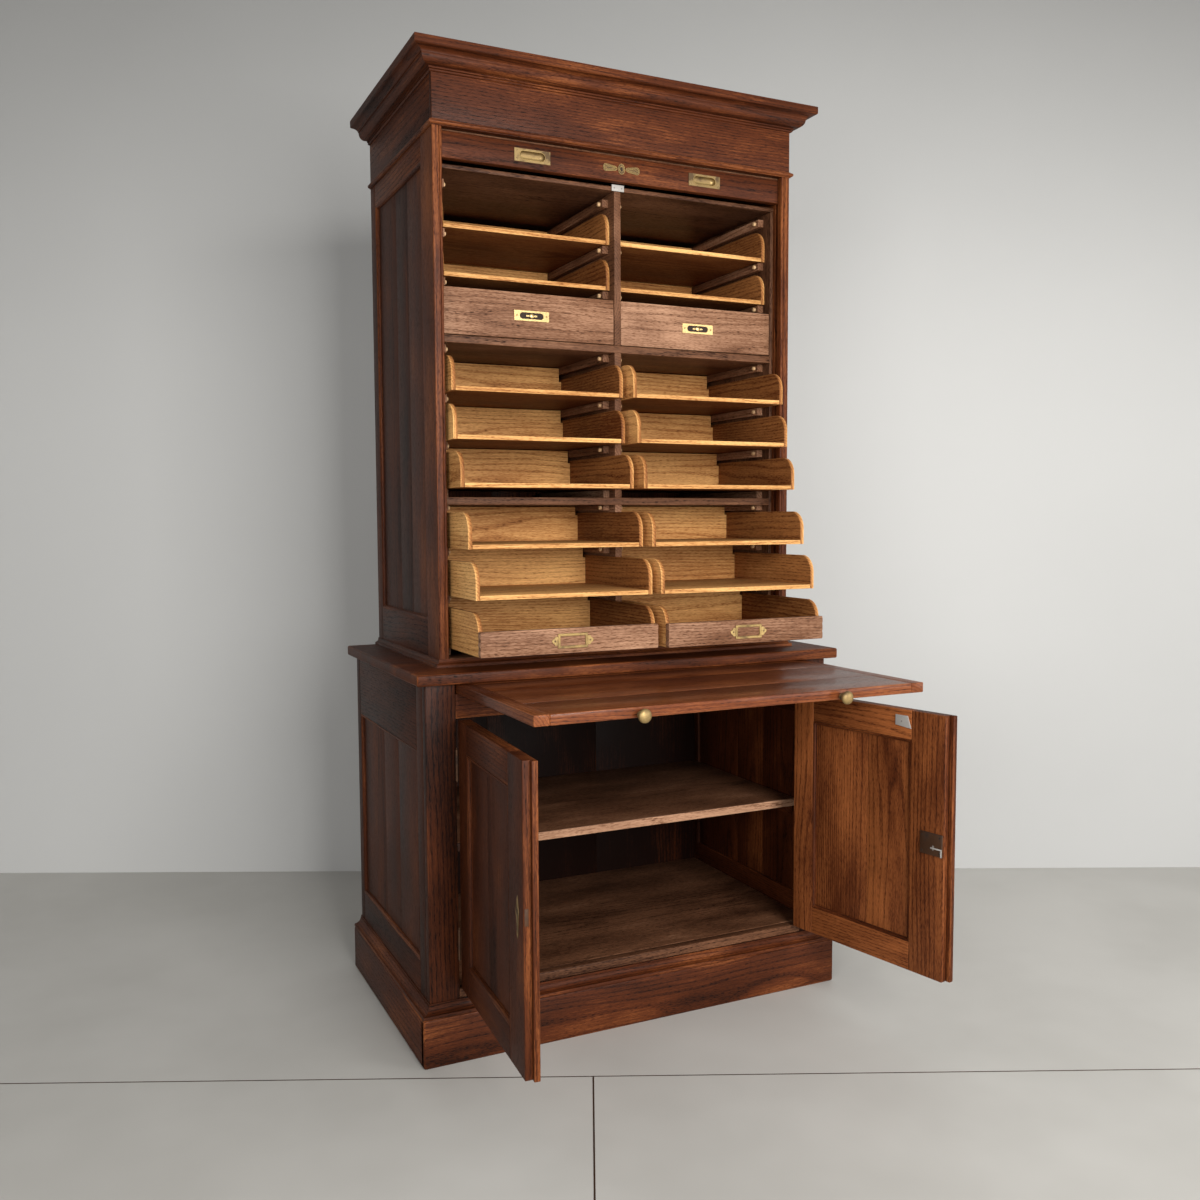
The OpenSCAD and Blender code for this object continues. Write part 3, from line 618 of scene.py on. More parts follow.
def plain_wood(name, dark, light):
    """Bare turned wood: fine streaks along X between two close colours."""
    f = Finish(name)
    place = f.stretched(f.add("ShaderNodeTexCoord", output="Object"), (60, 500, 500))
    streak = f.noise(place, 1.0, 2.0)
    colour = f.ramp(streak.between(0.25, 0.75), (0.0, dark), (1.0, light))
    return f.surface(Base_Color=colour, Roughness=0.6)


def canvas_cloth(name, dark, light):
    """Plain weave: a fine chequer of over and under threads, faded by slow noise."""
    f = Finish(name)
    place = f.add("ShaderNodeTexCoord", output="Object")
    weave = f.add("ShaderNodeTexChecker", None, {"Vector": place, "Scale": 900.0}, "Fac")
    colour = f.ramp(weave * 0.6 + f.noise(place, 40.0, 3.0) * 0.4, (0.0, dark), (1.0, light))
    return f.surface(Base_Color=colour, Roughness=0.9)


aged_brass = metal("aged_brass", (0.46, 0.32, 0.13), (0.10, 0.06, 0.025),
                   gloss=0.28, grime_and_shade=0.55, metallic=0.9)
bright_brass = metal("bright_brass", (0.54, 0.39, 0.17), (0.16, 0.10, 0.035),
                     gloss=0.22, grime_and_shade=0.2, metallic=0.9)
grey_steel = metal("grey_steel", (0.62, 0.61, 0.58), (0.20, 0.18, 0.16),
                   gloss=0.32, grime_and_shade=0.25, metallic=0.5)
dark_iron = metal("dark_iron", (0.100, 0.050, 0.027), (0.022, 0.012, 0.008),
                  gloss=0.42, grime_and_shade=0.6, metallic=0.7)
pale_wood = plain_wood("pale_wood", (0.42, 0.24, 0.11), (0.66, 0.45, 0.24))
canvas = canvas_cloth("canvas", (0.020, 0.012, 0.008), (0.055, 0.036, 0.022))
print("finishes:", ", ".join(material.name for material in bpy.data.materials))

# %% [markdown]
# ## The upper case
#
# Each side is a frame: a wide front stile, a narrow back stile, two rails and a sunk panel. The
# front stile shows its edge as a narrow strip with a bead along it, and behind the bead runs the
# groove that the shutter slides in. Panels are glued up from three boards, so each has three
# tones, and a small moulding runs round the inside of the frame.

# %% Sides of the upper case
upper_low, upper_high = corners("upper_sides")
CASE = upper_high[0]
FRONT, BACK = upper_low[1], upper_high[1]
rail_low, rail_high = corners("lead_rail")
slats_low, slats_high = corners("front_slats")
SLAT_Y = (slats_low[1] + slats_high[1]) / 2
print(f"upper case: {2 * CASE:.3f} m wide, {BACK - FRONT:.3f} m deep")


def ovolo(depth):
    """A quarter round of the frame's own depth, as (inset, height under the frame's face)."""
    bow = depth - 1.6 * MM
    foot = -depth + 0.05 * MM
    return joined([(0, 0), (0.8 * MM, 0)], arc((0.8 * MM, -bow), bow, 90, 0, 6)[1:],
                  [(bow + 2.4 * MM, -bow), (bow + 2.4 * MM, foot), (0, foot)])


def stile_section(thick, depth):
    """The front stile's section, as (inward from the outer face, back from the front edge): a
    rounded outer corner, a quirk and a half-round bead at the inner corner, then the groove."""
    bead, quirk = 3.2 * MM, 1.2 * MM
    groove, half_groove, groove_depth = SLAT_Y - FRONT, 5.5 * MM, 9 * MM
    return joined(
        arc((1.5 * MM, 1.5 * MM), 1.5 * MM, 180, 270, 4),
        [(thick - 2 * bead - quirk, 0), (thick - 2 * bead - quirk, 1.6 * MM),
         (thick - 2 * bead, 1.8 * MM)],
        arc((thick - bead, bead), bead, 180, 360, 8),
        [(thick, groove - half_groove), (thick - groove_depth, groove - half_groove),
         (thick - groove_depth, groove + half_groove), (thick, groove + half_groove),
         (thick, depth), (0, depth)],
    )


def section_up(piece, outline, low, high, tone=0.5):
    """An outline in X and Y carried straight up from the low to the high height."""
    heights = np.array([low, high])[:, None, None]
    flat = np.broadcast_to(outline, (2, *outline.shape))
    places = np.concatenate([flat, np.broadcast_to(heights, (2, len(outline), 1))], axis=2)
    grains = piece.in_log(places, places.min((0, 1)), places.max((0, 1)), 2)
    piece.skin(places, grains, piece.shade(tone, 0.04))


sides = Piece("case_sides")
for low, high in solids("upper_sides"):
    sign = math.copysign(1, low[0])
    if low[1] < FRONT + MM and high[1] - low[1] < 0.1:
        section = stile_section(high[0] - low[0], high[1] - low[1])
        outer = max(abs(low[0]), abs(high[0]))
        outline = np.stack([sign * (outer - section[:, 0]), FRONT + section[:, 1]], axis=1)
        section_up(sides, outline, low[2], high[2], tone=0.55)
    else:
        board(sides, low, high, edge=0.8 * MM, tone=0.42)
sides.make("cabinet", stained_oak, "stained_oak", ["upper_sides"])


# %% Sunk panels and the moulding round them
def panel_boards(piece, low, high, across, shares, tone):
    """A panel glued up from upright boards of unequal width, with hairline joints."""
    cuts = low[across] + np.cumsum([0, *shares]) / sum(shares) * (high[across] - low[across])
    for start, end in zip(cuts[:-1], cuts[1:]):
        first, last = np.array(low), np.array(high)
        first[across], last[across] = start + 0.1 * MM, end - 0.1 * MM
        board(piece, first, last, along=2, edge=0.3 * MM, tone=tone, spread=0.06)


panels, beads = Piece("side_panel_boards"), Piece("side_panel_mouldings")
for low, high in solids("side_panels"):
    sign = math.copysign(1, low[0])
    frame_depth = 7 * MM
    face = sign * (max(abs(low[0]), abs(high[0])) + frame_depth)
    panel_boards(panels, low, high, 1, (1.1, 0.8, 1.3), 0.40)
    bead_round(beads, low, high, 0, face, sign, ovolo(frame_depth), 0.5)
panels.make("cabinet", stained_oak, "stained_oak", ["side_panels"])
beads.make("cabinet", stained_oak, "stained_oak")


# %% Plain boards of a node
def dress(name, node, body, finish, slot, edge=1.0 * MM, tone=0.5, spread=0.10):
    """Gives every solid of a node a board in its place, with the grain along its length."""
    piece = Piece(name)
    boxes = solids(node)
    for low, high in boxes:
        board(piece, low, high, edge=edge, tone=tone, spread=spread)
    piece.make(body, finish, slot, [node])
    print(f"{name}: {len(boxes)} boards")


dress("frieze_board", "frieze", "cabinet", stained_oak, "stained_oak", tone=0.46, spread=0.02)
dress("tray_shelves", "cross_shelves", "cabinet", brown_oak, "brown_oak", edge=1.5 * MM, tone=0.38)
dress("dividers", "inner_uprights", "cabinet", brown_oak, "brown_oak", edge=1.5 * MM, tone=0.36)
dress("case_boards", "upper_boards", "cabinet", brown_oak, "brown_oak", edge=1.2 * MM, tone=0.40)
dress("case_back", "upper_back", "cabinet", stained_oak, "stained_oak", tone=0.45)
dress("tray_runners", "runners", "cabinet", brown_oak, "brown_oak", tone=0.52, spread=0.06)

# %% [markdown]
# ## Mouldings of the case
#
# The cornice starts with a bead and two small fillets, swells into a wide low round, and runs out
# in a hollow under its square top fillet. The astragal is a half round between two fillets, and
# the foot of the case sits in a small scotia. Each is one profile, mitred round the front and
# sides.


# %% Cornice, astragal and foot moulding
def oval(centre, wide, tall, start, end, count=8):
    """Points of an oval arc: the cosine of each angle times half the width, and its sine times
    half the height, added to the centre."""
    turn = np.radians(np.linspace(start, end, count + 1))
    return np.array(centre) + np.stack([wide * np.cos(turn), tall * np.sin(turn)], axis=1)


def cornice_profile(foot, top, reach):
    """From the wall outwards and up: a bead, two fillets, a wide low round, a hollow that runs
    out under the top, and the square top fillet."""
    fillet = top - 16.5 * MM
    inner, outer = 0.28 * reach, 0.57 * reach
    return joined(
        [(0, foot), (1.5 * MM, foot)],
        arc((2.4 * MM, foot + 2.8 * MM), 2.5 * MM, -70, 70, 5),
        [(6.4 * MM, foot + 5.6 * MM), (6.4 * MM, foot + 8.6 * MM), (inner, foot + 9.0 * MM)],
        oval((inner, fillet - 10 * MM), outer - inner, fillet - foot - 19 * MM, -88, 0, 12),
        [(outer, fillet - 9.2 * MM), (outer + 1.4 * MM, fillet - 9.2 * MM)],
        oval((reach - 1.5 * MM, fillet - 9 * MM), reach - outer - 2.9 * MM, 8.6 * MM, 176, 94, 8),
        [(reach - 1.2 * MM, fillet), (reach, fillet + 1.5 * MM)],
        arc((reach - 1.5 * MM, top - 1.5 * MM), 1.5 * MM, 0, 90, 3),
        [(0, top)],
    )


def astragal_profile(bottom, top, reach):
    """A half round whose height is most of the strip's, between a fillet above and one below."""
    radius = (top - bottom) / 2 - 1.6 * MM
    middle = (top + bottom) / 2
    return joined(
        [(0, bottom), (2 * MM, bottom), (2 * MM, bottom + 1.3 * MM)],
        arc((reach - radius, middle), radius, -80, 80, 10),
        [(2 * MM, top - 1.3 * MM), (2 * MM, top), (0, top)],
    )


def foot_profile(bottom, top, reach):
    """An upright fillet with a hollow above it."""
    return joined(
        [(0, bottom), (reach, bottom), (reach, bottom + 5 * MM)],
        arc((reach - 0.5 * MM, top - 3.5 * MM), 7 * MM, -95, -180, 7),
        [(2 * MM, top - 1 * MM), (2 * MM, top), (0, top)],
    )


for name, node, profile, tone in (
    ("case_mouldings", "cornice", cornice_profile, 0.42),
    ("astragal_moulding", "astragal", astragal_profile, 0.6),
    ("case_foot_moulding", "foot_moulding", foot_profile, 0.5),
):
    low, high = corners(node)
    reach = high[0] - CASE
    trim = Piece(name)
    moulding(trim, CASE, FRONT, BACK, profile(low[2], high[2], reach), tone)
    trim.make("cabinet", stained_oak, "stained_oak", [node])
    print(f"{node} stands out {reach / MM:.1f} mm")

# %% [markdown]
# ## Trays
#
# A tray is a floor between two sides with rounded shoulders, and a lower back. The sides are
# bare oak outside and stained inside, so their tone changes through the thickness. The two
# lowest trays also have a low front, dovetailed to the sides.

# %% Tray sides, floors and backs
TRAY_ROUND = 38 * MM


def tray_side(piece, low, high, tones):
    """A side with its front top corner rounded: a rectangle in Y and Z with one arc in it."""
    radius = min(TRAY_ROUND, high[2] - low[2] - 10 * MM)
    shoulder = arc((low[1] + radius, high[2] - radius), radius, 90, 180, 14)
    outline = joined([(low[1], low[2]), (high[1], low[2]), (high[1], high[2])], shoulder)
    cut(piece, outline, 0, low[0], high[0], along=1, edge=1.0 * MM, tones=tones, spread=0.05)


def dovetails(piece, x, sign, front, low, high):
    """End grain tails of a side, flush with the front board's end: three pieces wider at their
    front, a hair proud of the board."""
    wide, narrow, root = 5.5 * MM, 3.5 * MM, front + 14 * MM
    for middle in np.linspace(low, high, 7)[1::2]:
        tail = [(front, middle - wide), (root, middle - narrow),
                (root, middle + narrow), (front, middle + wide)]
        ends = sorted([x, x + sign * 0.25 * MM])
        cut(piece, tail, 0, *ends, along=0, edge=0.05 * MM, tones=(0.85, 0.85), spread=0.03)


def tray_floor(piece, low, high):
    """A floor that is light above and at its edge and dark underneath."""
    board(piece, low, high, along=0, edge=1.0 * MM, tone=0.70, spread=0.05)
    under = piece.places[-1][:, 2] < low[2] + 0.05 * MM
    piece.tones[-1] = np.where(under, 0.10, piece.tones[-1])


def tray_back(piece, lower, upper):
    """The back as one board: a wide lower part, and a narrower upper part that stands up
    between the runners. Its outline in Z and X is a T."""
    (x0, y0, z0), (x1, y1, z1) = lower
    (x2, _, _), (x3, _, z3) = upper
    outline = [(z0, x0), (z1, x0), (z1, x2), (z3, x2), (z3, x3), (z1, x3), (z1, x1), (z0, x1)]
    cut(piece, outline, 1, y0, y1, along=0, edge=0.6 * MM, tones=(0.66, 0.50), spread=0.06)


for side in ("left", "right"):
    for row in range(1, 9):
        node = f"tray_{side}_{row}"
        tray, boards, backs = Piece(f"{node}_boards"), solids(node), []
        node_low, node_high = corners(node)
        for low, high in boards:
            size = high - low
            if size[0] < 0.02:
                outside = low[0] < (node_low[0] + node_high[0]) / 2
                tray_side(tray, low, high, (0.74, 0.22) if outside else (0.22, 0.74))
            elif size[2] < 0.015:
                tray_floor(tray, low, high)
            elif low[1] < node_low[1] + MM:
                front = Piece(f"{node}_front")
                board(front, low, high, along=0, edge=1.2 * MM, tone=0.68, spread=0.03)
                for x, sign in ((low[0], -1), (high[0], 1)):
                    dovetails(front, x, sign, low[1], low[2], high[2])
                front.make(node, brown_oak, "brown_oak")
            else:
                backs.append((low, high))
        tray_back(tray, *sorted(backs, key=lambda box: box[0][2]))
        tray.make(node, golden_oak, "golden_oak", [node])
        print(f"{node}: {len(boards)} boards")

# %% Drawers
for side in ("left", "right"):
    node = f"drawer_{side}"
    drawer, boards = Piece(f"{node}_boards"), solids(node)
    front_y = corners(node)[0][1]
    for low, high in boards:
        if low[1] < front_y + MM:
            board(drawer, low, high, edge=1.5 * MM, tone=0.62, spread=0.03)
        else:
            board(drawer, low, high, edge=1.0 * MM, tone=0.55)
    drawer.make(node, brown_oak, "brown_oak", [node])
    print(f"{node}: {len(boards)} boards")

# %% Runner pegs
pegs = Piece("turned_pegs")
for low, high in solids("runner_pegs"):
    on_case = abs(low[0] + high[0]) > 0.4
    inner = -math.copysign(1, low[0] + high[0]) if on_case else math.copysign(1, low[0])
    radius, reach = (high[2] - low[2]) / 2, high[0] - low[0]
    centre = (low + high) / 2
    centre[0] -= inner * reach / 2
    profile = joined([(radius, 0), (radius, reach - 1.5 * MM)],
                     [(radius - 0.5 * MM, reach - 0.5 * MM), (radius - 1.6 * MM, reach)])
    turned(pegs, profile, centre, (inner, 0, 0), sides=16)
pegs.make("cabinet", pale_wood, "pale_wood", ["runner_pegs"])
print("pegs:", len(solids("runner_pegs")))

# %% [markdown]
# ## The shutter
#
# Narrow slats glued to canvas run in the grooves, up behind the frieze and back over the top.
# When the lead rail is up, the slats are stored along that track. The stretch between the lead
# rail and the first bend has to grow as the rail comes down, so it is one piece, whose points are
# placed for a blend between the case and the rail. It is designed as it should look when drawn
# down, with slats of equal height, and each point is then put where such a blend would bring it
# there.

# %% The track
TRACK_RADIUS = 50 * MM
stored_low, stored_high = corners("stored_slats")
SPRING = slats_high[2] + 0.2 * MM
SLAT_THICK = slats_high[1] - slats_low[1]
PITCH, SLAT_HEIGHT = 20 * MM, 18.2 * MM
TRACK_BACK = stored_high[1] - SLAT_THICK / 2
BEND = math.pi * TRACK_RADIUS / 2
FLAT_RUN = TRACK_BACK - SLAT_Y - 2 * TRACK_RADIUS
STORED = len(solids("stored_slats")) * PITCH
print(f"stored along {STORED:.2f} m of track, with {FLAT_RUN:.3f} m of it level")


def along_track(distance):
    """Y, Z and slope at a distance along the track: a quarter circle up, a level run towards
    the back, a quarter circle down, and a drop in front of the back boards."""
    first = np.clip(distance, 0, BEND) / TRACK_RADIUS
    level = np.clip(distance - BEND, 0, FLAT_RUN)
    second = np.clip(distance - BEND - FLAT_RUN, 0, BEND) / TRACK_RADIUS
    drop = np.clip(distance - 2 * BEND - FLAT_RUN, 0, None)
    y = SLAT_Y + TRACK_RADIUS * (1 - np.cos(first)) + level + TRACK_RADIUS * np.sin(second)
    z = SPRING + TRACK_RADIUS * np.sin(first) - TRACK_RADIUS * (1 - np.cos(second)) - drop
    return y, z, math.pi / 2 - first - second


def slat_sections(distance, track):
    """Sections of slats: flat at the back, bevelled at the long edges and slightly round in
    front. Height runs along the track and depth towards the outside of the bend."""
    half, thick = SLAT_HEIGHT / 2, SLAT_THICK / 2
    section = joined([(-half, -thick), (half, -thick), (half, thick - 2.2 * MM),
                      (half - 1.6 * MM, thick - 0.7 * MM), (half / 2, thick - 0.1 * MM), (0, thick),
                      (-half / 2, thick - 0.1 * MM), (-half + 1.6 * MM, thick - 0.7 * MM),
                      (-half, thick - 2.2 * MM)])
    y, z, slope = track(distance)
    run, rise = np.cos(slope)[:, None], np.sin(slope)[:, None]
    along, out = section[None, :, 0], section[None, :, 1]
    return y[:, None] + along * run - out * rise, z[:, None] + along * rise + out * run


def add_slats(piece, y, z, reach, tone):
    """One skin for each slat: its section at the left end and at the right end."""
    for k in range(len(y)):
        ends = [np.stack([np.full(len(y[k]), x), y[k], z[k]], axis=1) for x in (-reach, reach)]
        strip(piece, ends[0], ends[1], 0, tone)


stored = Piece("stored_shutter")
REACH = stored_high[0]
y, z = slat_sections(np.arange(PITCH / 2, STORED, PITCH), along_track)
add_slats(stored, y, z, REACH, 0.45)
stored.make("cabinet", brown_oak, "brown_oak", ["stored_slats"])


CLOTH_THICK, CLOTH_MARGIN = 0.6 * MM, 12 * MM


def backing(piece, y, z, reach):
    """The canvas: a thin flat tube whose rings are the cloth's front and back edges."""
    step = np.gradient(np.stack([y, z], axis=1), axis=0)
    step /= np.linalg.norm(step, axis=1, keepdims=True)
    inner = np.stack([y, z], axis=1) + np.stack([step[:, 1], -step[:, 0]], axis=1) * CLOTH_THICK
    rings = np.empty((len(y), 4, 3))
    lines = ((y, z), (y, z), inner.T, inner.T)
    for k, (x, line) in enumerate(zip((-reach, reach, reach, -reach), lines)):
        rings[:, k, 0], rings[:, k, 1], rings[:, k, 2] = x, line[0], line[1]
    piece.skin(rings)


cloth = Piece("shutter_canvas_stored")
y, z, slope = along_track(np.linspace(0.5 * MM, STORED - 2 * MM, 90))
inside = SLAT_THICK / 2 + 0.3 * MM
backing(cloth, y + inside * np.sin(slope), z - inside * np.cos(slope), REACH - CLOTH_MARGIN)
cloth.make("cabinet", canvas, "brown_oak")

# %% The stretch that grows
TRAVEL = -joints["tambour_slide"]["range_m"][0]
GROWN_TOP, GROWN_END = slats_high[2], slats_low[2]
REST_HEIGHT = GROWN_TOP - GROWN_END


def before_blend(height):
    """Where a point has to be at rest so that the blend brings it to a height when the rail is
    down. With t from 0 at the top to 1 at the rail, the blend lowers a point by the travel
    times t squared times three minus two t, so t is looked up from the lowered height."""
    t = np.linspace(0, 1, 4001)
    lowered = GROWN_TOP - REST_HEIGHT * t - TRAVEL * t * t * (3 - 2 * t)
    return GROWN_TOP - REST_HEIGHT * np.interp(-height, -lowered, t)


down = int((REST_HEIGHT + TRAVEL) / PITCH)
middles = GROWN_TOP - (np.arange(down) + 0.5) * (REST_HEIGHT + TRAVEL) / down


def straight(height):
    """The front run of the track: one depth, and a slope that points straight up."""
    return np.full(len(height), SLAT_Y), height, np.full(len(height), math.pi / 2)


curtain = Piece("drawn_shutter")
y, z = slat_sections(middles, straight)
z = np.clip(z, GROWN_END - TRAVEL + 0.2 * MM, GROWN_TOP)
add_slats(curtain, y, before_blend(z), REACH, 0.5)
curtain = curtain.make(None, brown_oak, "brown_oak", ["front_slats"])
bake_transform(curtain)
cloth = Piece("shutter_canvas_drawn")
z = before_blend(np.linspace(GROWN_TOP, GROWN_END - TRAVEL + 0.3 * MM, 60))
backing(cloth, np.full(len(z), SLAT_Y + inside), z, REACH - CLOTH_MARGIN)
cloth = cloth.make(None, canvas, "brown_oak")
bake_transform(cloth)
print("slats drawn down:", down, "and stored:", len(solids("stored_slats")))

# %% [markdown]
# ## The lead rail and its brass
#
# The lead rail is the board that a hand takes hold of. Two flush pulls are let into it: a
# plate with four screws round a pressed cup. Between them a key plate has two lobed wings with
# raised lines, and a keyhole in the middle.

# %% The lead rail
CUP = oblong(58 * MM, 19 * MM)
rail = Piece("shutter_lead_rail")
pull_low, pull_high = corners("rail_pulls")
PULL_X = (pull_high[0] - pull_low[0]) / 2 - 40.5 * MM
rail_middle = (rail_low[2] + rail_high[2]) / 2
RAIL_HALF = rail_high[0] - 9.5 * MM


def rail_front(piece, low, high):
    """The rail's body: two pierced blocks where the cups sit, and plain board between them. All
    share one spot in the log, so the grain runs on across the joints."""
    first = len(piece.grains)
    block = 35 * MM
    cuts = [low[0], -PULL_X - block, -PULL_X + block, PULL_X - block, PULL_X + block, high[0]]
    thick, height = high[1] - low[1], high[2] - low[2]
    for k, (start, end) in enumerate(zip(cuts[:-1], cuts[1:])):
        if k % 2:
            hole = oblong(58.5 * MM, 19.5 * MM)
            centre = ((start + end) / 2, high[1], (low[2] + high[2]) / 2)
            outer = rectangle_like(hole, end - start, height)
            steps = [(outer, 0), (outer, thick - 1.2 * MM),
                     (outer * [1, 1 - 1.0 * MM / height], thick - 0.4 * MM),
                     (outer * [1, 1 - 2.4 * MM / height], thick), (hole, thick), (hole, 0)]
            rings = np.stack([on_face(ring, centre, (0, -1, 0), depth) for ring, depth in steps])
            piece.skin(rings, tone=0.5, loop=True)
        else:
            ring = np.array([
                (low[1] + 1.2 * MM, low[2]), (high[1], low[2]), (high[1], high[2]),
                (low[1] + 1.2 * MM, high[2]), (low[1] + 0.4 * MM, high[2] - 0.5 * MM),
                (low[1], high[2] - 1.2 * MM), (low[1], low[2] + 1.2 * MM),
                (low[1] + 0.4 * MM, low[2] + 0.5 * MM),
            ])
            places = [np.column_stack([np.full(len(ring), x), ring]) for x in (start, end)]
            piece.skin(np.stack(places), tone=0.5)
    spot = np.array([3.7, 0.03, 0.085])
    for k in range(first, len(piece.grains)):
        piece.grains[k] = (piece.places[k] - (low + high) / 2)[:, [0, 2, 1]] + spot


rail_front(rail, np.array([-RAIL_HALF, *rail_low[1:]]), np.array([RAIL_HALF, *rail_high[1:]]))
for x, end in ((-rail_high[0], -RAIL_HALF - 0.1 * MM), (RAIL_HALF + 0.1 * MM, rail_high[0])):
    first, last = (x, slats_low[1], rail_low[2]), (end, slats_high[1], rail_high[2])
    board(rail, first, last, along=0, tone=0.5)
rail.make("tambour", stained_oak, "stained_oak", ["lead_rail"])
print(f"pulls stand {PULL_X:.3f} m from the middle")

# %% Flush pulls
pulls = Piece("flush_pulls")
FACE = (0, -1, 0)
for x in (-PULL_X, PULL_X):
    centre = np.array([x, rail_low[1], rail_middle])
    outer = rectangle_like(CUP, 81 * MM, 27 * MM)
    pierced(pulls, outer, CUP, centre, FACE, 1.5 * MM, wear=0.55)
    depths = np.array([0.0, 2.0, 4.6, 6.9, 8.3, 8.6]) * MM
    sizes = [1.0, 0.97, 0.90, 0.74, 0.45, 0.12]
    bowl, shell = [], []
    for size, depth in zip(sizes, depths):
        inner = CUP * [1 - (1 - size) * 0.35, size]
        outer = CUP * [1.01 - (1 - size) * 0.33, size * 1.02]
        bowl.append(on_face(inner, centre, FACE, -depth))
        shell.append(on_face(outer, centre, FACE, -depth - 0.5 * MM))
    # Painted shade: the cup's upper half, under its lip, gets more tarnish, so it is darker than
    # the lower half.
    grime_and_shade = 0.2 + 0.4 * np.clip(CUP[:, 1] / (9.5 * MM), 0, 1)
    pulls.skin(np.stack(bowl[::-1] + shell), wear=grime_and_shade)
    wire(pulls, on_face(CUP * [0.992, 0.97], centre, FACE, 1.5 * MM), FACE, 0.7 * MM)
    for right, up in ((-35, 8.5), (35, 8.5), (-35, -8.5), (35, -8.5)):
        screw(pulls, centre + np.array([right, -1.5, up]) * MM, FACE, 2.1 * MM, lean=right * up)
pulls.make("tambour", aged_brass, "aged_brass", ["rail_pulls"])
print(f"cups are {depths[-1] / MM:.1f} mm deep")


# %% The winged key plate
def wing(count=40):
    """A wing's outline: an oblong whose height swells towards its outer end. Each point of the
    oblong is moved up or down by up to a third, in step with its place along the wing."""
    shape = oblong(34 * MM, 13 * MM, count)
    return shape * np.stack([np.ones(count), 1 + 0.35 * shape[:, 0] / (17 * MM)], axis=1)


key_plate, key_lines = Piece("winged_key_plate"), Piece("winged_key_lines")
centre = np.array([0, rail_low[1], rail_middle])
for side in (-1, 1):
    shape = (wing() * [side, 1])[::side]
    at = centre + np.array([side * 27 * MM, 0, 0])
    plate(key_plate, shape, at, FACE, 0.7 * MM, wear=0.9)
    for share in (0.94, 0.66, 0.30):
        line = on_face(shape * [0.5 + share / 2, share], at, FACE, 0.8 * MM)
        wire(key_lines, line, FACE, 0.68 * MM)
disc = arc((0, 0), 9 * MM, 0, 352.5, 47)
plate(key_plate, disc * [0.9, 1.25], centre, FACE, 0.9 * MM, wear=0.7)
wire(key_lines, on_face(disc * [0.86, 1.2], centre, FACE, 1.0 * MM), FACE, 0.75 * MM)
swell = 1.1 - 0.35 * np.abs(disc[:, 0]) / (9 * MM)
heart = disc * 0.62 * np.stack([np.ones(len(disc)), swell], axis=1)
wire(key_lines, on_face(heart, centre, FACE, 1.2 * MM), FACE, 0.6 * MM)
key_plate.make("tambour", aged_brass, "aged_brass", ["rail_escutcheon"])
key_lines.make("tambour", bright_brass, "bright_brass")
print("raised lines on the key plate:", len(key_lines.places))


# %% Keyholes
def keyhole(piece, centre, axis, size=1.0):
    """A keyhole as a plate a hair proud of its surroundings, shaped as a round hole over a slot.
    The hole is not cut: the plate's dark colour is painted shade inside the hole.
    """
    turn = np.radians(np.arange(-60, 241, 25))
    hole = 2.5 * np.stack([np.cos(turn), np.sin(turn)], axis=1)
    shape = joined([(1.25, -2.2)], hole, [(-1.25, -2.2), (-1.7, -8.0), (1.7, -8.0)]) * size * MM
    plate(piece, shape, centre, axis, 0.25 * MM, edge=0.05 * MM, wear=1.0)


hole = Piece("shutter_keyhole")
keyhole(hole, centre + np.array([0, -1.2, 1.0]) * MM, FACE, 0.9)
hole.make("tambour", dark_iron, "dark_iron")
lock_low, lock_high = corners("rail_lock")
shutter_lock = Piece("shutter_lock")
board(shutter_lock, lock_low, lock_high, edge=0.6 * MM)
for x in (lock_low[0] + 6 * MM, lock_high[0] - 6 * MM):
    for up in (lock_low[2] + 6 * MM, lock_high[2] - 6 * MM):
        screw(shutter_lock, (x, lock_high[1], up), (0, 1, 0), 2.2 * MM, lean=x * 40)
shutter_lock.make("tambour", dark_iron, "dark_iron", ["rail_lock"])
print(f"the lock is {(lock_high[0] - lock_low[0]) / MM:.0f} mm wide")

# %% The steel striking plate
strike_low, strike_high = corners("strike_plate")
strike = Piece("steel_striking_plate")
board(strike, strike_low, strike_high, edge=0.5 * MM)
strike_middle = (strike_low[2] + strike_high[2]) / 2
for x in (strike_low[0] + 6 * MM, strike_high[0] - 6 * MM):
    screw(strike, (x, strike_low[1], strike_middle), FACE, 1.7 * MM, lean=x * 90)
strike.wears_and_painted_light = [wear + 0.6 for wear in strike.wears_and_painted_light]
strike.make("cabinet", grey_steel, "steel", ["strike_plate"])
print(f"the striking plate is at {strike_middle:.3f} m")

# %% [markdown]
# ## Drawer plates and card holders
#
# Each drawer has a small bright plate with a sunk oblong. A bar with a turned knob on it lies in
# the oblong to pull by, and a screw holds each end of the plate. The lowest tray on each side
# has a card holder: a brass frame, held by two ears of three lobes with a screw through each.

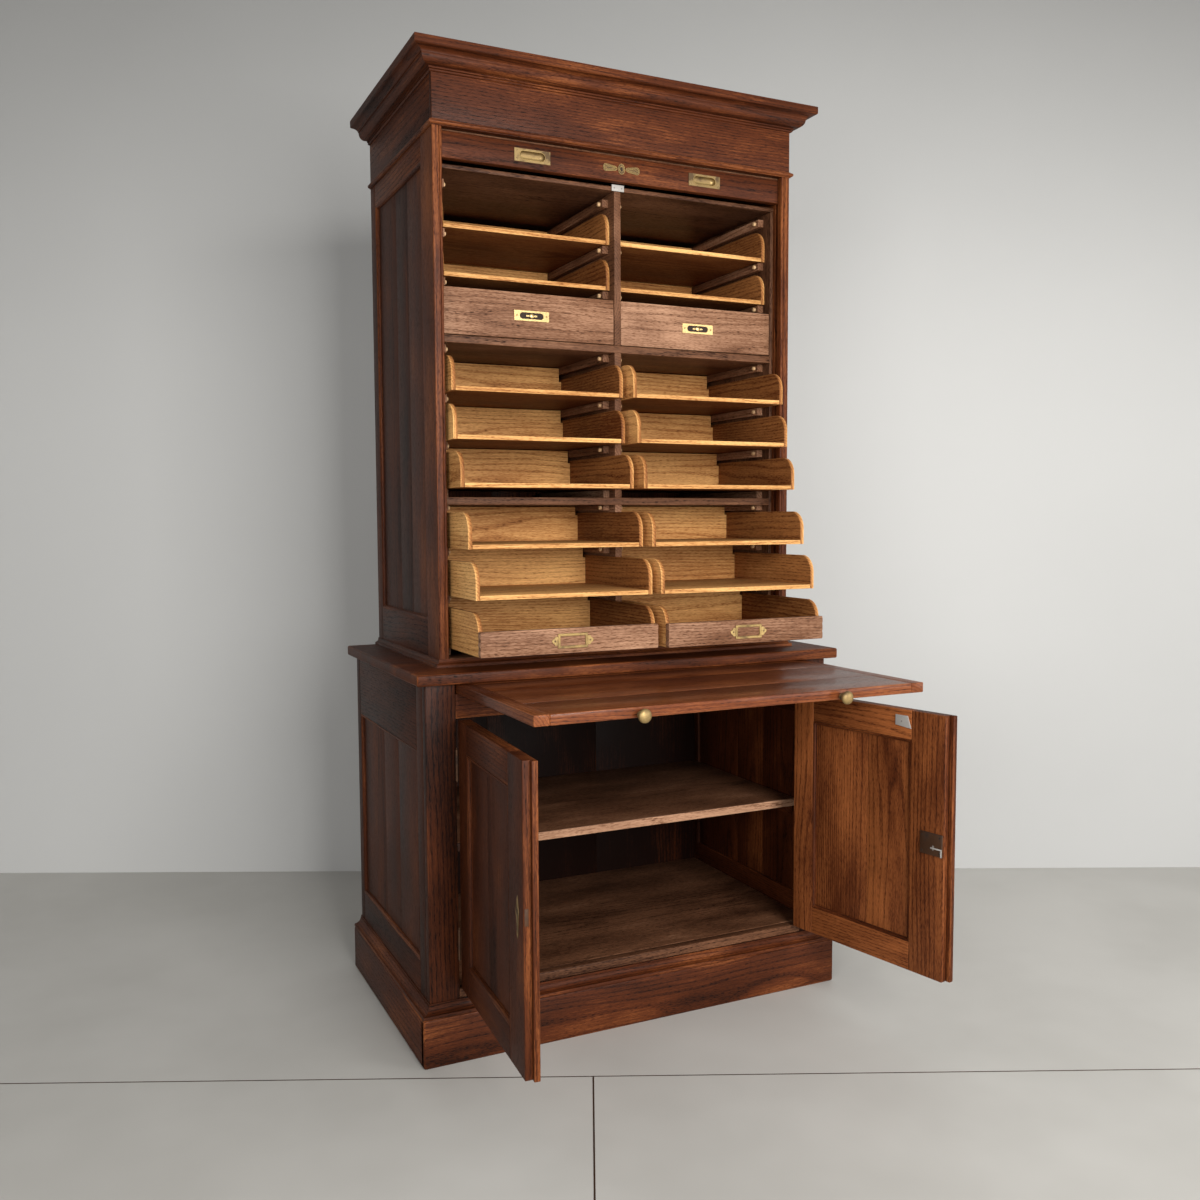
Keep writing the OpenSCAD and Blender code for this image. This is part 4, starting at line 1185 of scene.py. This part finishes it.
# %% Drawer plates
for side in ("left", "right"):
    low, high = corners(f"drawer_plate_{side}")
    centre = np.array([(low[0] + high[0]) / 2, high[1], (low[2] + high[2]) / 2])
    thick = high[1] - low[1]
    slot = oblong(54 * MM, 13 * MM)
    outer = rectangle_like(slot, high[0] - low[0], high[2] - low[2])
    pull = Piece(f"drawer_pull_{side}")
    pierced(pull, outer, slot, centre, FACE, thick)
    recess = Piece(f"drawer_recess_{side}")
    plate(recess, slot * 0.99, centre, FACE, 0.3 * MM, edge=0.05 * MM, wear=0.9)
    recess.make(f"drawer_{side}", dark_iron, "dark_iron")
    grip = np.array([(3.2, 0.3), (3.2, 1.4), (5.0, 2.2), (5.0, 3.0), (3.4, 3.8), (0.2, 4.1)]) * MM
    turned(pull, grip, centre, FACE, sides=20)
    plate(pull, oblong(26 * MM, 4 * MM), centre, FACE, 1.0 * MM)
    for right in (-34 * MM, 34 * MM):
        screw(pull, centre + np.array([right, -thick, 0]), FACE, 2.3 * MM, lean=right * 60)
    pull.make(f"drawer_{side}", bright_brass, "bright_brass", [f"drawer_plate_{side}"])
    print(f"drawer plate {side}: {(high[0] - low[0]) / MM:.0f} mm wide")

# %% Card holders
for side in ("left", "right"):
    low, high = corners(f"card_holder_{side}")
    centre = np.array([(low[0] + high[0]) / 2, high[1], (low[2] + high[2]) / 2])
    thick = high[1] - low[1]
    around = oblong(66 * MM, 30 * MM, 96)
    holder = Piece(f"card_frame_{side}")
    outer = rectangle_like(around, 66 * MM, 30 * MM)
    inner = rectangle_like(around, 55 * MM, 19 * MM)
    pierced(holder, outer, inner, centre, FACE, thick, edge=0.5 * MM)
    for length, height in ((58 * MM, 22 * MM), (64 * MM, 28 * MM)):
        line = on_face(rectangle_like(around, length, height), centre, FACE, thick)
        wire(holder, line, FACE, 0.6 * MM)
    for sign in (-1, 1):
        for right, up in ((36, 4.6), (36, -4.6), (40.6, 0)):
            lobe = arc((sign * right * MM, up * MM), 4.8 * MM, 0, 345, 23)
            plate(holder, lobe, centre, FACE, (1.2 + 0.05 * up / 4.6) * MM)
        ear = centre + np.array([sign * 38.5 * MM, -1.2 * MM, 0])
        screw(holder, ear, FACE, 2.1 * MM, lean=sign * 0.8)
    holder.make(f"tray_{side}_8", aged_brass, "aged_brass", [f"card_holder_{side}"])
    print(f"card holder {side}: {len(holder.places)} skins")

# %% [markdown]
# ## The base
#
# The base repeats the upper case in heavier wood: framed sides with sunk panels, a front frame
# of two stiles and a rail, a top board whose edge is well rounded, a sill, and a plinth with a
# rounded top edge under a cove.

# %% Base boards
dress("base_frames", "base_sides", "cabinet", stained_oak, "stained_oak",
      edge=1.5 * MM, tone=0.24, spread=0.04)
dress("base_top_board", "top_board", "cabinet", stained_oak, "stained_oak",
      edge=4 * MM, tone=0.42, spread=0.02)
dress("slide_bearers", "slide_rails", "cabinet", stained_oak, "stained_oak",
      edge=1.5 * MM, tone=0.40)
dress("base_floor", "base_bottom", "cabinet", brown_oak, "brown_oak",
      edge=2.5 * MM, tone=0.36, spread=0.03)
dress("plinth_boards", "plinth", "cabinet", stained_oak, "stained_oak",
      edge=5 * MM, tone=0.44, spread=0.03)
dress("shelf_bearers", "shelf_cleats", "cabinet", stained_oak, "stained_oak", tone=0.40)


# %% Back boards and shelf
def deepened(piece, start, depth, change):
    """Tones that change evenly with Y: by nothing at start, and by change at start + depth."""
    return [
        tone + change * (place[:, 1] - start) / depth
        for place, tone in zip(piece.places, piece.tones)
    ]


back_low, back_high = corners("base_back")
back_boards = Piece("base_back_boards")
for low, high in solids("base_back"):
    board(back_boards, low, high, tone=0.42, spread=0.03)
# Painted shade: the boards' inner face, inside the cupboard, is made half a tone darker than their
# back face.
back_boards.tones = deepened(back_boards, back_high[1], back_high[1] - back_low[1], 0.5)
back_boards.make("cabinet", stained_oak, "stained_oak", ["base_back"])
shelf_low, shelf_high = corners("cupboard_shelf")
shelf = Piece("cupboard_shelf_boards")
lipping = shelf_low[1] + 5 * MM
shelf_start = (shelf_low[0], lipping + 0.1 * MM, shelf_low[2])
board(shelf, shelf_start, shelf_high, along=0, tone=0.36, spread=0.02)
# Painted shadow: the lipping's left end, by the left door's hinge, is made dark where the open left
# door shades it.
dark_end = joints["door_left_swing"]["pos_m"][0] + 38 * MM
for start, end, tone in ((shelf_low[0], dark_end, -0.1), (dark_end, shelf_high[0], 0.9)):
    first, last = (start, *shelf_low[1:]), (end, lipping, shelf_high[2])
    board(shelf, first, last, along=0, edge=1.2 * MM, tone=tone, spread=0.02)
shelf.make("cabinet", brown_oak, "brown_oak", ["cupboard_shelf"])
print(f"the shelf's front edge ends {shelf_high[2]:.3f} m above the floor")

# %% The cove over the plinth
base_low, base_high = corners("base_sides")
cove_low, cove_high = corners("plinth_moulding")
cove_reach = cove_high[0] - base_high[0]
print(f"the cove stands out {cove_reach / MM:.1f} mm")


def cove_profile(bottom, top, reach):
    """An upright fillet, then a hollow quarter circle that runs up to the wall."""
    hollow = reach - 4 * MM
    return joined(
        [(0, bottom), (reach, bottom), (reach, bottom + 3 * MM),
         (reach - 0.8 * MM, top - 4.5 * MM - hollow)],
        arc((reach - 0.8 * MM, top - 4.2 * MM), hollow, -90, -180, 9),
        [(2 * MM, top - 4.2 * MM), (2 * MM, top), (0, top)],
    )


trim = Piece("plinth_cove")
profile = cove_profile(cove_low[2], cove_high[2], cove_reach)
moulding(trim, base_high[0], base_low[1], base_high[1], profile, 0.5)
trim.make("cabinet", stained_oak, "stained_oak", ["plinth_moulding"])

# %% [markdown]
# ## The writing slide
#
# The slide's boards run from side to side, and a clamp across each end keeps them flat. It is
# polished harder than the rest, and two turned knobs pull it out.

# %% Slide and knobs
slide = Piece("slide_boards")
for low, high in solids("writing_slide"):
    if high[0] - low[0] < 0.1:
        board(slide, low, high, along=1, edge=2 * MM, tone=0.55, spread=0.05)
        continue
    cuts = low[1] + np.cumsum([0, 1.0, 1.25, 0.8, 1.1]) / 4.15 * (high[1] - low[1])
    for start, end in zip(cuts[:-1], cuts[1:]):
        first, last = (low[0], start + 0.03 * MM, low[2]), (high[0], end - 0.03 * MM, high[2])
        edge = 2 * MM if start == cuts[0] else 0.15 * MM
        board(slide, first, last, along=0, edge=edge, tone=0.5, spread=0.07)
slide.make("writing_slide", polished_oak, "polished_oak", ["writing_slide"])

KNOB = [(6.4, 0), (6.4, 1.2), (5.8, 2.2), (4.9, 3.4), (4.6, 6), (5.4, 9), (8.4, 12), (11.6, 14.2),
        (13, 17), (12.6, 19.6), (10.4, 22), (6.4, 23.4), (2.6, 23.9), (0.2, 24)]
knobs = Piece("turned_knobs")
for low, high in solids("slide_knobs"):
    centre = ((low[0] + high[0]) / 2, high[1], (low[2] + high[2]) / 2)
    turned(knobs, np.array(KNOB) * MM, centre, FACE, sides=32, wear=0.4)
knobs.make("writing_slide", aged_brass, "aged_brass", ["slide_knobs"])
print("knobs:", len(knobs.places))

# %% [markdown]
# ## Doors
#
# A door is two stiles, two rails and a sunk panel with a moulding on both faces. A lap strip
# along the free edge covers the gap to the other door. The doors stand open, so each is built
# shut, where its boards are square, and then turned about its hinge pin. Its inside face has
# seen less light and polish, so the tone rises from the outside to the inside.


# %% Door frames and panels
def shut(node, joint):
    """The node's solids as they lie with the door shut."""
    return solids(node, turning(joint, math.radians(joint["range_deg"][0])))


for side in ("left", "right"):
    joint = joints[f"door_{side}_swing"]
    open_again = turning(joint, -math.radians(joint["range_deg"][0]))
    body = f"door_{side}"
    door = Piece(f"{body}_frame")
    frame_boxes = shut(body, joint)
    for low, high in frame_boxes:
        board(door, low, high, edge=1.5 * MM, tone=0.36, spread=0.05)
    outside, inside = min(b[0][1] for b in frame_boxes), max(b[1][1] for b in frame_boxes)
    door.tones = deepened(door, outside, inside - outside, 0.40)
    door.make(body, stained_oak, "stained_oak", [body], matrix=open_again)
    (low, high), = shut(f"door_panel_{side}", joint)
    panel = Piece(f"{body}_panel_boards")
    panel_boards(panel, low, high, 0, (1.0, 1.3), 0.42)
    panel.tones = deepened(panel, low[1], high[1] - low[1], 0.38)
    panel.make(body, stained_oak, "stained_oak", [f"door_panel_{side}"], matrix=open_again)
    round_panel = Piece(f"{body}_mouldings")
    bead_round(round_panel, low, high, 1, outside, -1, ovolo(low[1] - outside), 0.5)
    bead_round(round_panel, low, high, 1, inside, 1, ovolo(inside - high[1]), 0.5)
    round_panel.make(body, stained_oak, "stained_oak", matrix=open_again)
    print(f"{body}: {len(frame_boxes)} boards round its panel")

# %% [markdown]
# ## Locks and hinges
#
# Outside, each door has a slender pointed key plate. Inside, each has an iron lock plate with a
# bright keyhole. The right door's lock has a bent steel latch, and near that door's top is a
# slanted catch plate with one screw. The left door has a small iron strike on its free edge. The
# hinges are five iron knuckles on a pin with a small round end, and flat leaves whose three
# screws lie almost flush, because the leaves fold on each other.


# %% Key plates and locks
BEHIND = (0, 1, 0)


def slender(height=38 * MM, count=60):
    """Half width against height: four and a half millimetres with a swelling a third of the way
    up, all times the square root of one minus the squared height, which points both ends."""
    turn = np.linspace(0.06, math.pi - 0.06, count)
    z = -height * np.cos(turn)
    swelling = 4.2 * MM * np.exp(-(((z - 10 * MM) / (9 * MM)) ** 2))
    width = (4.6 * MM + swelling) * np.sqrt(1 - (z / height) ** 2)
    right = np.stack([width, z], axis=1)
    return np.concatenate([right, (right * [-1, 1])[::-1]])


def leaf(piece, low, high, face_axis):
    """A hinge leaf with three screws on the side that looks along face_axis."""
    board(piece, low, high, edge=0.3 * MM)
    piece.wears_and_painted_light[-1] = piece.wears_and_painted_light[-1] + 1.0
    middle = (np.array(low) + np.array(high)) / 2
    face = high[0] if face_axis[0] > 0 else low[0]
    for share in (-0.36, 0.0, 0.36):
        across = 0.18 * (high[1] - low[1]) * (1 if share == 0 else -1)
        at = (face, middle[1] + across, middle[2] + share * (high[2] - low[2]))
        screw(piece, at, face_axis, 2.2 * MM, lean=share * 4, proud=0.06 * MM)


def key_plate_outside(brass, iron, at):
    """The slender plate with a raised line near its edge, a keyhole and two pins."""
    shape = slender()
    plate(brass, shape, at, FACE, 0.9 * MM, wear=0.9)
    wire(brass, on_face(shape * 0.9, at, FACE, 0.9 * MM), FACE, 0.45 * MM, wear=0.6)
    keyhole(iron, at + np.array([0, -1.0, 12]) * MM, FACE, 0.8)
    for up in (-30 * MM, 30 * MM):
        screw(brass, at + np.array([0, -0.9 * MM, up]), FACE, 1.1 * MM, lean=up * 70)


def lock_plate(iron, steel, low, high, sign):
    """The plate on the inside, with a screw near each corner and a bright keyhole."""
    board(iron, low, high, edge=0.8 * MM)
    at, size = np.array([(low[0] + high[0]) / 2, high[1], (low[2] + high[2]) / 2]), high - low
    for right in (-0.4, 0.4):
        for up in (-0.36, 0.36):
            spot = at + np.array([right * size[0], 0, up * size[2]])
            screw(iron, spot, BEHIND, 2.2 * MM, lean=right * up * 9)
    keyhole(steel, at + np.array([-sign * 6, 0.1, -4]) * MM, BEHIND, 1.0)


def bent_latch(steel, low, high):
    """A steel strip that runs sideways under the keyhole and turns down along the free edge."""
    middle, over = (low + high) / 2, high[1] + 1.2 * MM
    top, bend = middle[2] - 6 * MM, middle[2] - 9 * MM
    board(steel, (low[0], high[1], bend), (middle[0], over, top), edge=0.3 * MM)
    foot = (low[0] + 3 * MM, over, middle[2] - 9.1 * MM)
    board(steel, (low[0], high[1], low[2]), foot, edge=0.3 * MM)


def edge_strike(iron, doors, height):
    """A thin iron plate on the door's free edge, level with the lock."""
    face = min(box[0][1] for box in doors)
    edge = max(box[1][0] for box in doors if box[0][1] < face + MM)
    board(iron, (edge - 0.2 * MM, face + 1.8 * MM, height - 15 * MM),
          (edge + 0.4 * MM, face + 9 * MM, height + 15 * MM), edge=0.2 * MM)


def catch_plate(steel, low, high):
    """A slanted plate with one screw in it."""
    slope = [(low[2], low[0]), (high[2], low[0] + 9 * MM), (high[2], high[0]),
             (low[2] + 4 * MM, high[0])]
    cut(steel, slope, 1, low[1], high[1], edge=0.4 * MM)
    middle = (low + high) / 2
    spot = (middle[0] + 0.1 * (high[0] - low[0]), high[1], middle[2])
    screw(steel, spot, BEHIND, 2.0 * MM)


# %% The fittings of both doors
OUTSIDE_FACE = -0.277
for side, sign in (("left", -1), ("right", 1)):
    joint = joints[f"door_{side}_swing"]
    open_again = turning(joint, -math.radians(joint["range_deg"][0]))
    body = f"door_{side}"
    brass, iron, steel = (Piece(f"{body}_{part}") for part in ("key_plate", "lock", "steel_parts"))
    for low, high in shut(f"door_fittings_{side}", joint):
        size, middle = high - low, (low + high) / 2
        if size[0] < 0.002:
            leaf(iron, low, high, (sign, 0, 0))
        elif low[1] < OUTSIDE_FACE:
            key_plate_outside(brass, iron, np.array([middle[0], high[1], middle[2]]))
        elif size[2] > 0.04:
            lock_plate(iron, steel, low, high, sign)
            if side == "right":
                bent_latch(steel, low, high)
            else:
                edge_strike(iron, shut(body, joint), middle[2])
        else:
            catch_plate(steel, low, high)
    replaced = [f"door_fittings_{side}"]
    brass.make(body, aged_brass, "aged_brass", replaced, matrix=open_again)
    iron.make(body, dark_iron, "dark_iron", matrix=open_again)
    steel.make(body, grey_steel, "steel", matrix=open_again)
    print(f"{body}: {len(brass.places)} brass, {len(iron.places)} iron, {len(steel.places)} steel")

# %% Hinges on the case
hinge = Piece("hinge_knuckles")
TIP = np.array([(1.3, 0.3), (1.9, 1.6), (1.3, 2.9), (0.2, 3.4)]) * MM
for low, high in solids("hinges"):
    middle = (low + high) / 2
    if high[0] - low[0] < 0.002:
        leaf(hinge, low, high, (-math.copysign(1, low[0]), 0, 0))
        continue
    radius = (high[0] - low[0]) / 2
    cuts = np.linspace(low[2], high[2], 6)
    profile = [(width, low[2] - away) for width, away in TIP[::-1]]
    for start, end in zip(cuts[:-1], cuts[1:]):
        profile += [(0.84 * radius, start + 0.05 * MM), (radius, start + 0.4 * MM),
                    (radius, end - 0.4 * MM), (0.84 * radius, end - 0.05 * MM)]
    profile += [(width, high[2] + away) for width, away in TIP]
    turned(hinge, profile, (middle[0], middle[1], 0), (0, 0, 1), sides=16)
hinge.make("cabinet", dark_iron, "dark_iron", ["hinges"])
print("skins in the case's side of the hinges:", len(hinge.places))

# %% [markdown]
# ## Room, light and camera
#
# The floor is pale and smooth with thin joint lines, and a grey wall stands behind, with painted
# shade that darkens it upwards and to the right. The wall is seen only from its front, so that a
# view from behind isn't blocked. Three broad soft lamps stand in front, the strongest of them in
# the middle, and a weak one hangs above. The cabinet's left side gets the least of their light.

# %% Floor and wall
TURN, DOWN, ROLL = (math.radians(angle) for angle in (25.486, 4.159, 0.2795))
LENS, SENSOR = 33.71, 36
LOOK = np.array([math.sin(TURN), math.cos(TURN), 0])
EYE = np.array([-1.1202, -2.4199, 1.1054])
SIDEWAYS = np.array([LOOK[1], -LOOK[0], 0])
FOOT = EYE * [1, 1, 0] + LOOK * 3.47
print("the camera stands at", EYE)


def sheet_of(name, points, finish):
    """One flat sheet with four corners."""
    mesh = bpy.data.meshes.new(name)
    mesh.from_pydata([tuple(point) for point in points], [], [(0, 1, 2, 3)])
    obj = bpy.data.objects.new(name, mesh)
    bpy.context.scene.collection.objects.link(obj)
    mesh.materials.append(finish)


def floor_finish():
    """Pale screed: slow cloud between two greys."""
    f = Finish("pale_floor")
    place = f.add("ShaderNodeTexCoord", output="Object")
    cloud = f.noise(place, 1.2, 4.0, 0.6)
    colour = f.ramp(cloud.between(0.3, 0.7), (0.0, (0.50, 0.49, 0.46)), (1.0, (0.58, 0.57, 0.54)))
    return f.surface(Base_Color=colour, Roughness=0.55)


def wall_finish():
    """Plain grey paint with painted shade on it: darker from 1.2 metres up and a little darker to
    the
    right. Only the front is painted: the back lets light through, so it never blocks a view."""
    f = Finish("grey_wall")
    place = f.add("ShaderNodeTexCoord", output="Object")
    height = f.add("ShaderNodeSeparateXYZ", None, {"Vector": place}, "Z")
    turn = {"Vector": place, "Rotation": (0, 0, TURN)}
    right = f.add("ShaderNodeSeparateXYZ", None, {"Vector": f.add("ShaderNodeMapping", None, turn)})
    # Painted shade: the wall's colour darkens upwards and to the right.
    shade = height.between(1.2, 3.5) * 0.92 + right.between(0.2, 2.4) * 0.22
    shade = shade + f.noise(place, 0.9, 3.0) * 0.15
    colour = f.ramp(shade, (0.0, (0.58, 0.585, 0.58)), (1.0, (0.22, 0.22, 0.216)))
    paint = f.add("ShaderNodeBsdfDiffuse", None, {"Color": colour})
    clear = f.add("ShaderNodeBsdfTransparent")
    back = f.add("ShaderNodeNewGeometry", output="Backfacing")
    both = f.add("ShaderNodeMixShader", None, {"Fac": back, 1: paint, 2: clear})
    f.add("ShaderNodeOutputMaterial", None, {"Surface": both})
    return f.material


sheet_of("floor", [(-9, -9, 0), (9, -9, 0), (9, 9, 0), (-9, 9, 0)], floor_finish())
ends = [FOOT - SIDEWAYS * 7, FOOT + SIDEWAYS * 7]
up = np.array([0, 0, 5.5])
sheet_of("wall", [ends[0], ends[1], ends[1] + up, ends[0] + up], wall_finish())

# %% Joint lines on the floor
def joint_line(name, start, end, width=3 * MM):
    """A thin dark strip on the floor from start to end."""
    start, end = np.array(start, float), np.array(end, float)
    along = (end - start) / np.linalg.norm(end - start)
    side_step = np.array([-along[1], along[0]]) * width / 2
    line = [start - side_step, end - side_step, end + side_step, start + side_step]
    sheet_of(name, [(*point, 0.4 * MM) for point in line], dark_iron)


def floor_spot(right, down):
    """Where the camera's ray through a spot of its frame meets the floor: the camera's place
    plus the ray times its height over the ray's fall."""
    tilt = Matrix.Rotation(math.radians(90) - DOWN, 3, "X")
    ray = Vector((right - 0.5, 0.5 - down, -LENS / SENSOR))
    ray = np.array(Matrix.Rotation(-TURN, 3, "Z") @ tilt @ ray)
    return (EYE - ray * EYE[2] / ray[2])[:2]


cross = floor_spot(0.4925, 0.897)
joint_line("floor_joint_across", floor_spot(-0.1, 0.9015), floor_spot(1.1, 0.8925))
joint_line("floor_joint_ahead", cross, floor_spot(0.4935, 1.05))
print("the floor's joints meet at", cross)

# %% Lamps
TARGET = np.array([0, 0, 1.0])


def lamp(name, place, watts, size, colour=(1, 1, 1), aim=TARGET):
    """A square soft lamp at a place, turned so that it looks at aim."""
    light = bpy.data.lights.new(name, "AREA")
    light.energy, light.size, light.color = watts, size, colour
    obj = bpy.data.objects.new(name, light)
    back = Vector(place) - Vector(aim)
    obj.matrix_world = Matrix.Translation(place) @ back.to_track_quat("Z", "Y").to_matrix().to_4x4()
    bpy.context.scene.collection.objects.link(obj)


lamp("front_lamp", (-0.1, -4.2, 1.80), 180, 1.8, (1.0, 0.98, 0.95), aim=np.array([0.3, 0, 0.9]))
lamp("left_lamp", (-3.2, -3.4, 1.5), 62, 1.8, (1.0, 0.98, 0.96))
lamp("right_lamp", (2.9, -3.6, 1.5), 58, 2.2, (1.0, 0.98, 0.96))
lamp("ceiling_lamp", (0.6, -2.0, 4.0), 16, 3.0, aim=np.array([0.6, -2.0, 0]))
world = bpy.data.worlds.new("room")
world.use_nodes = True
world.node_tree.nodes["Background"].inputs["Color"].default_value = (1.0, 0.99, 0.97, 1)
world.node_tree.nodes["Background"].inputs["Strength"].default_value = 0.16
bpy.context.scene.world = world
bpy.context.scene.view_settings.view_transform = "Standard"
print("lamps:", len(bpy.data.lights))

# %% Camera
camera_data = bpy.data.cameras.new("camera")
camera_data.lens, camera_data.sensor_width = LENS, SENSOR
camera = bpy.data.objects.new("camera", camera_data)
camera.matrix_world = (
    Matrix.Translation(EYE.tolist())
    @ Matrix.Rotation(-TURN, 4, "Z")
    @ Matrix.Rotation(math.radians(90) - DOWN, 4, "X")
    @ Matrix.Rotation(-ROLL, 4, "Z")
)
bpy.context.scene.collection.objects.link(camera)
bpy.context.scene.camera = camera
print("lens:", LENS, "mm")
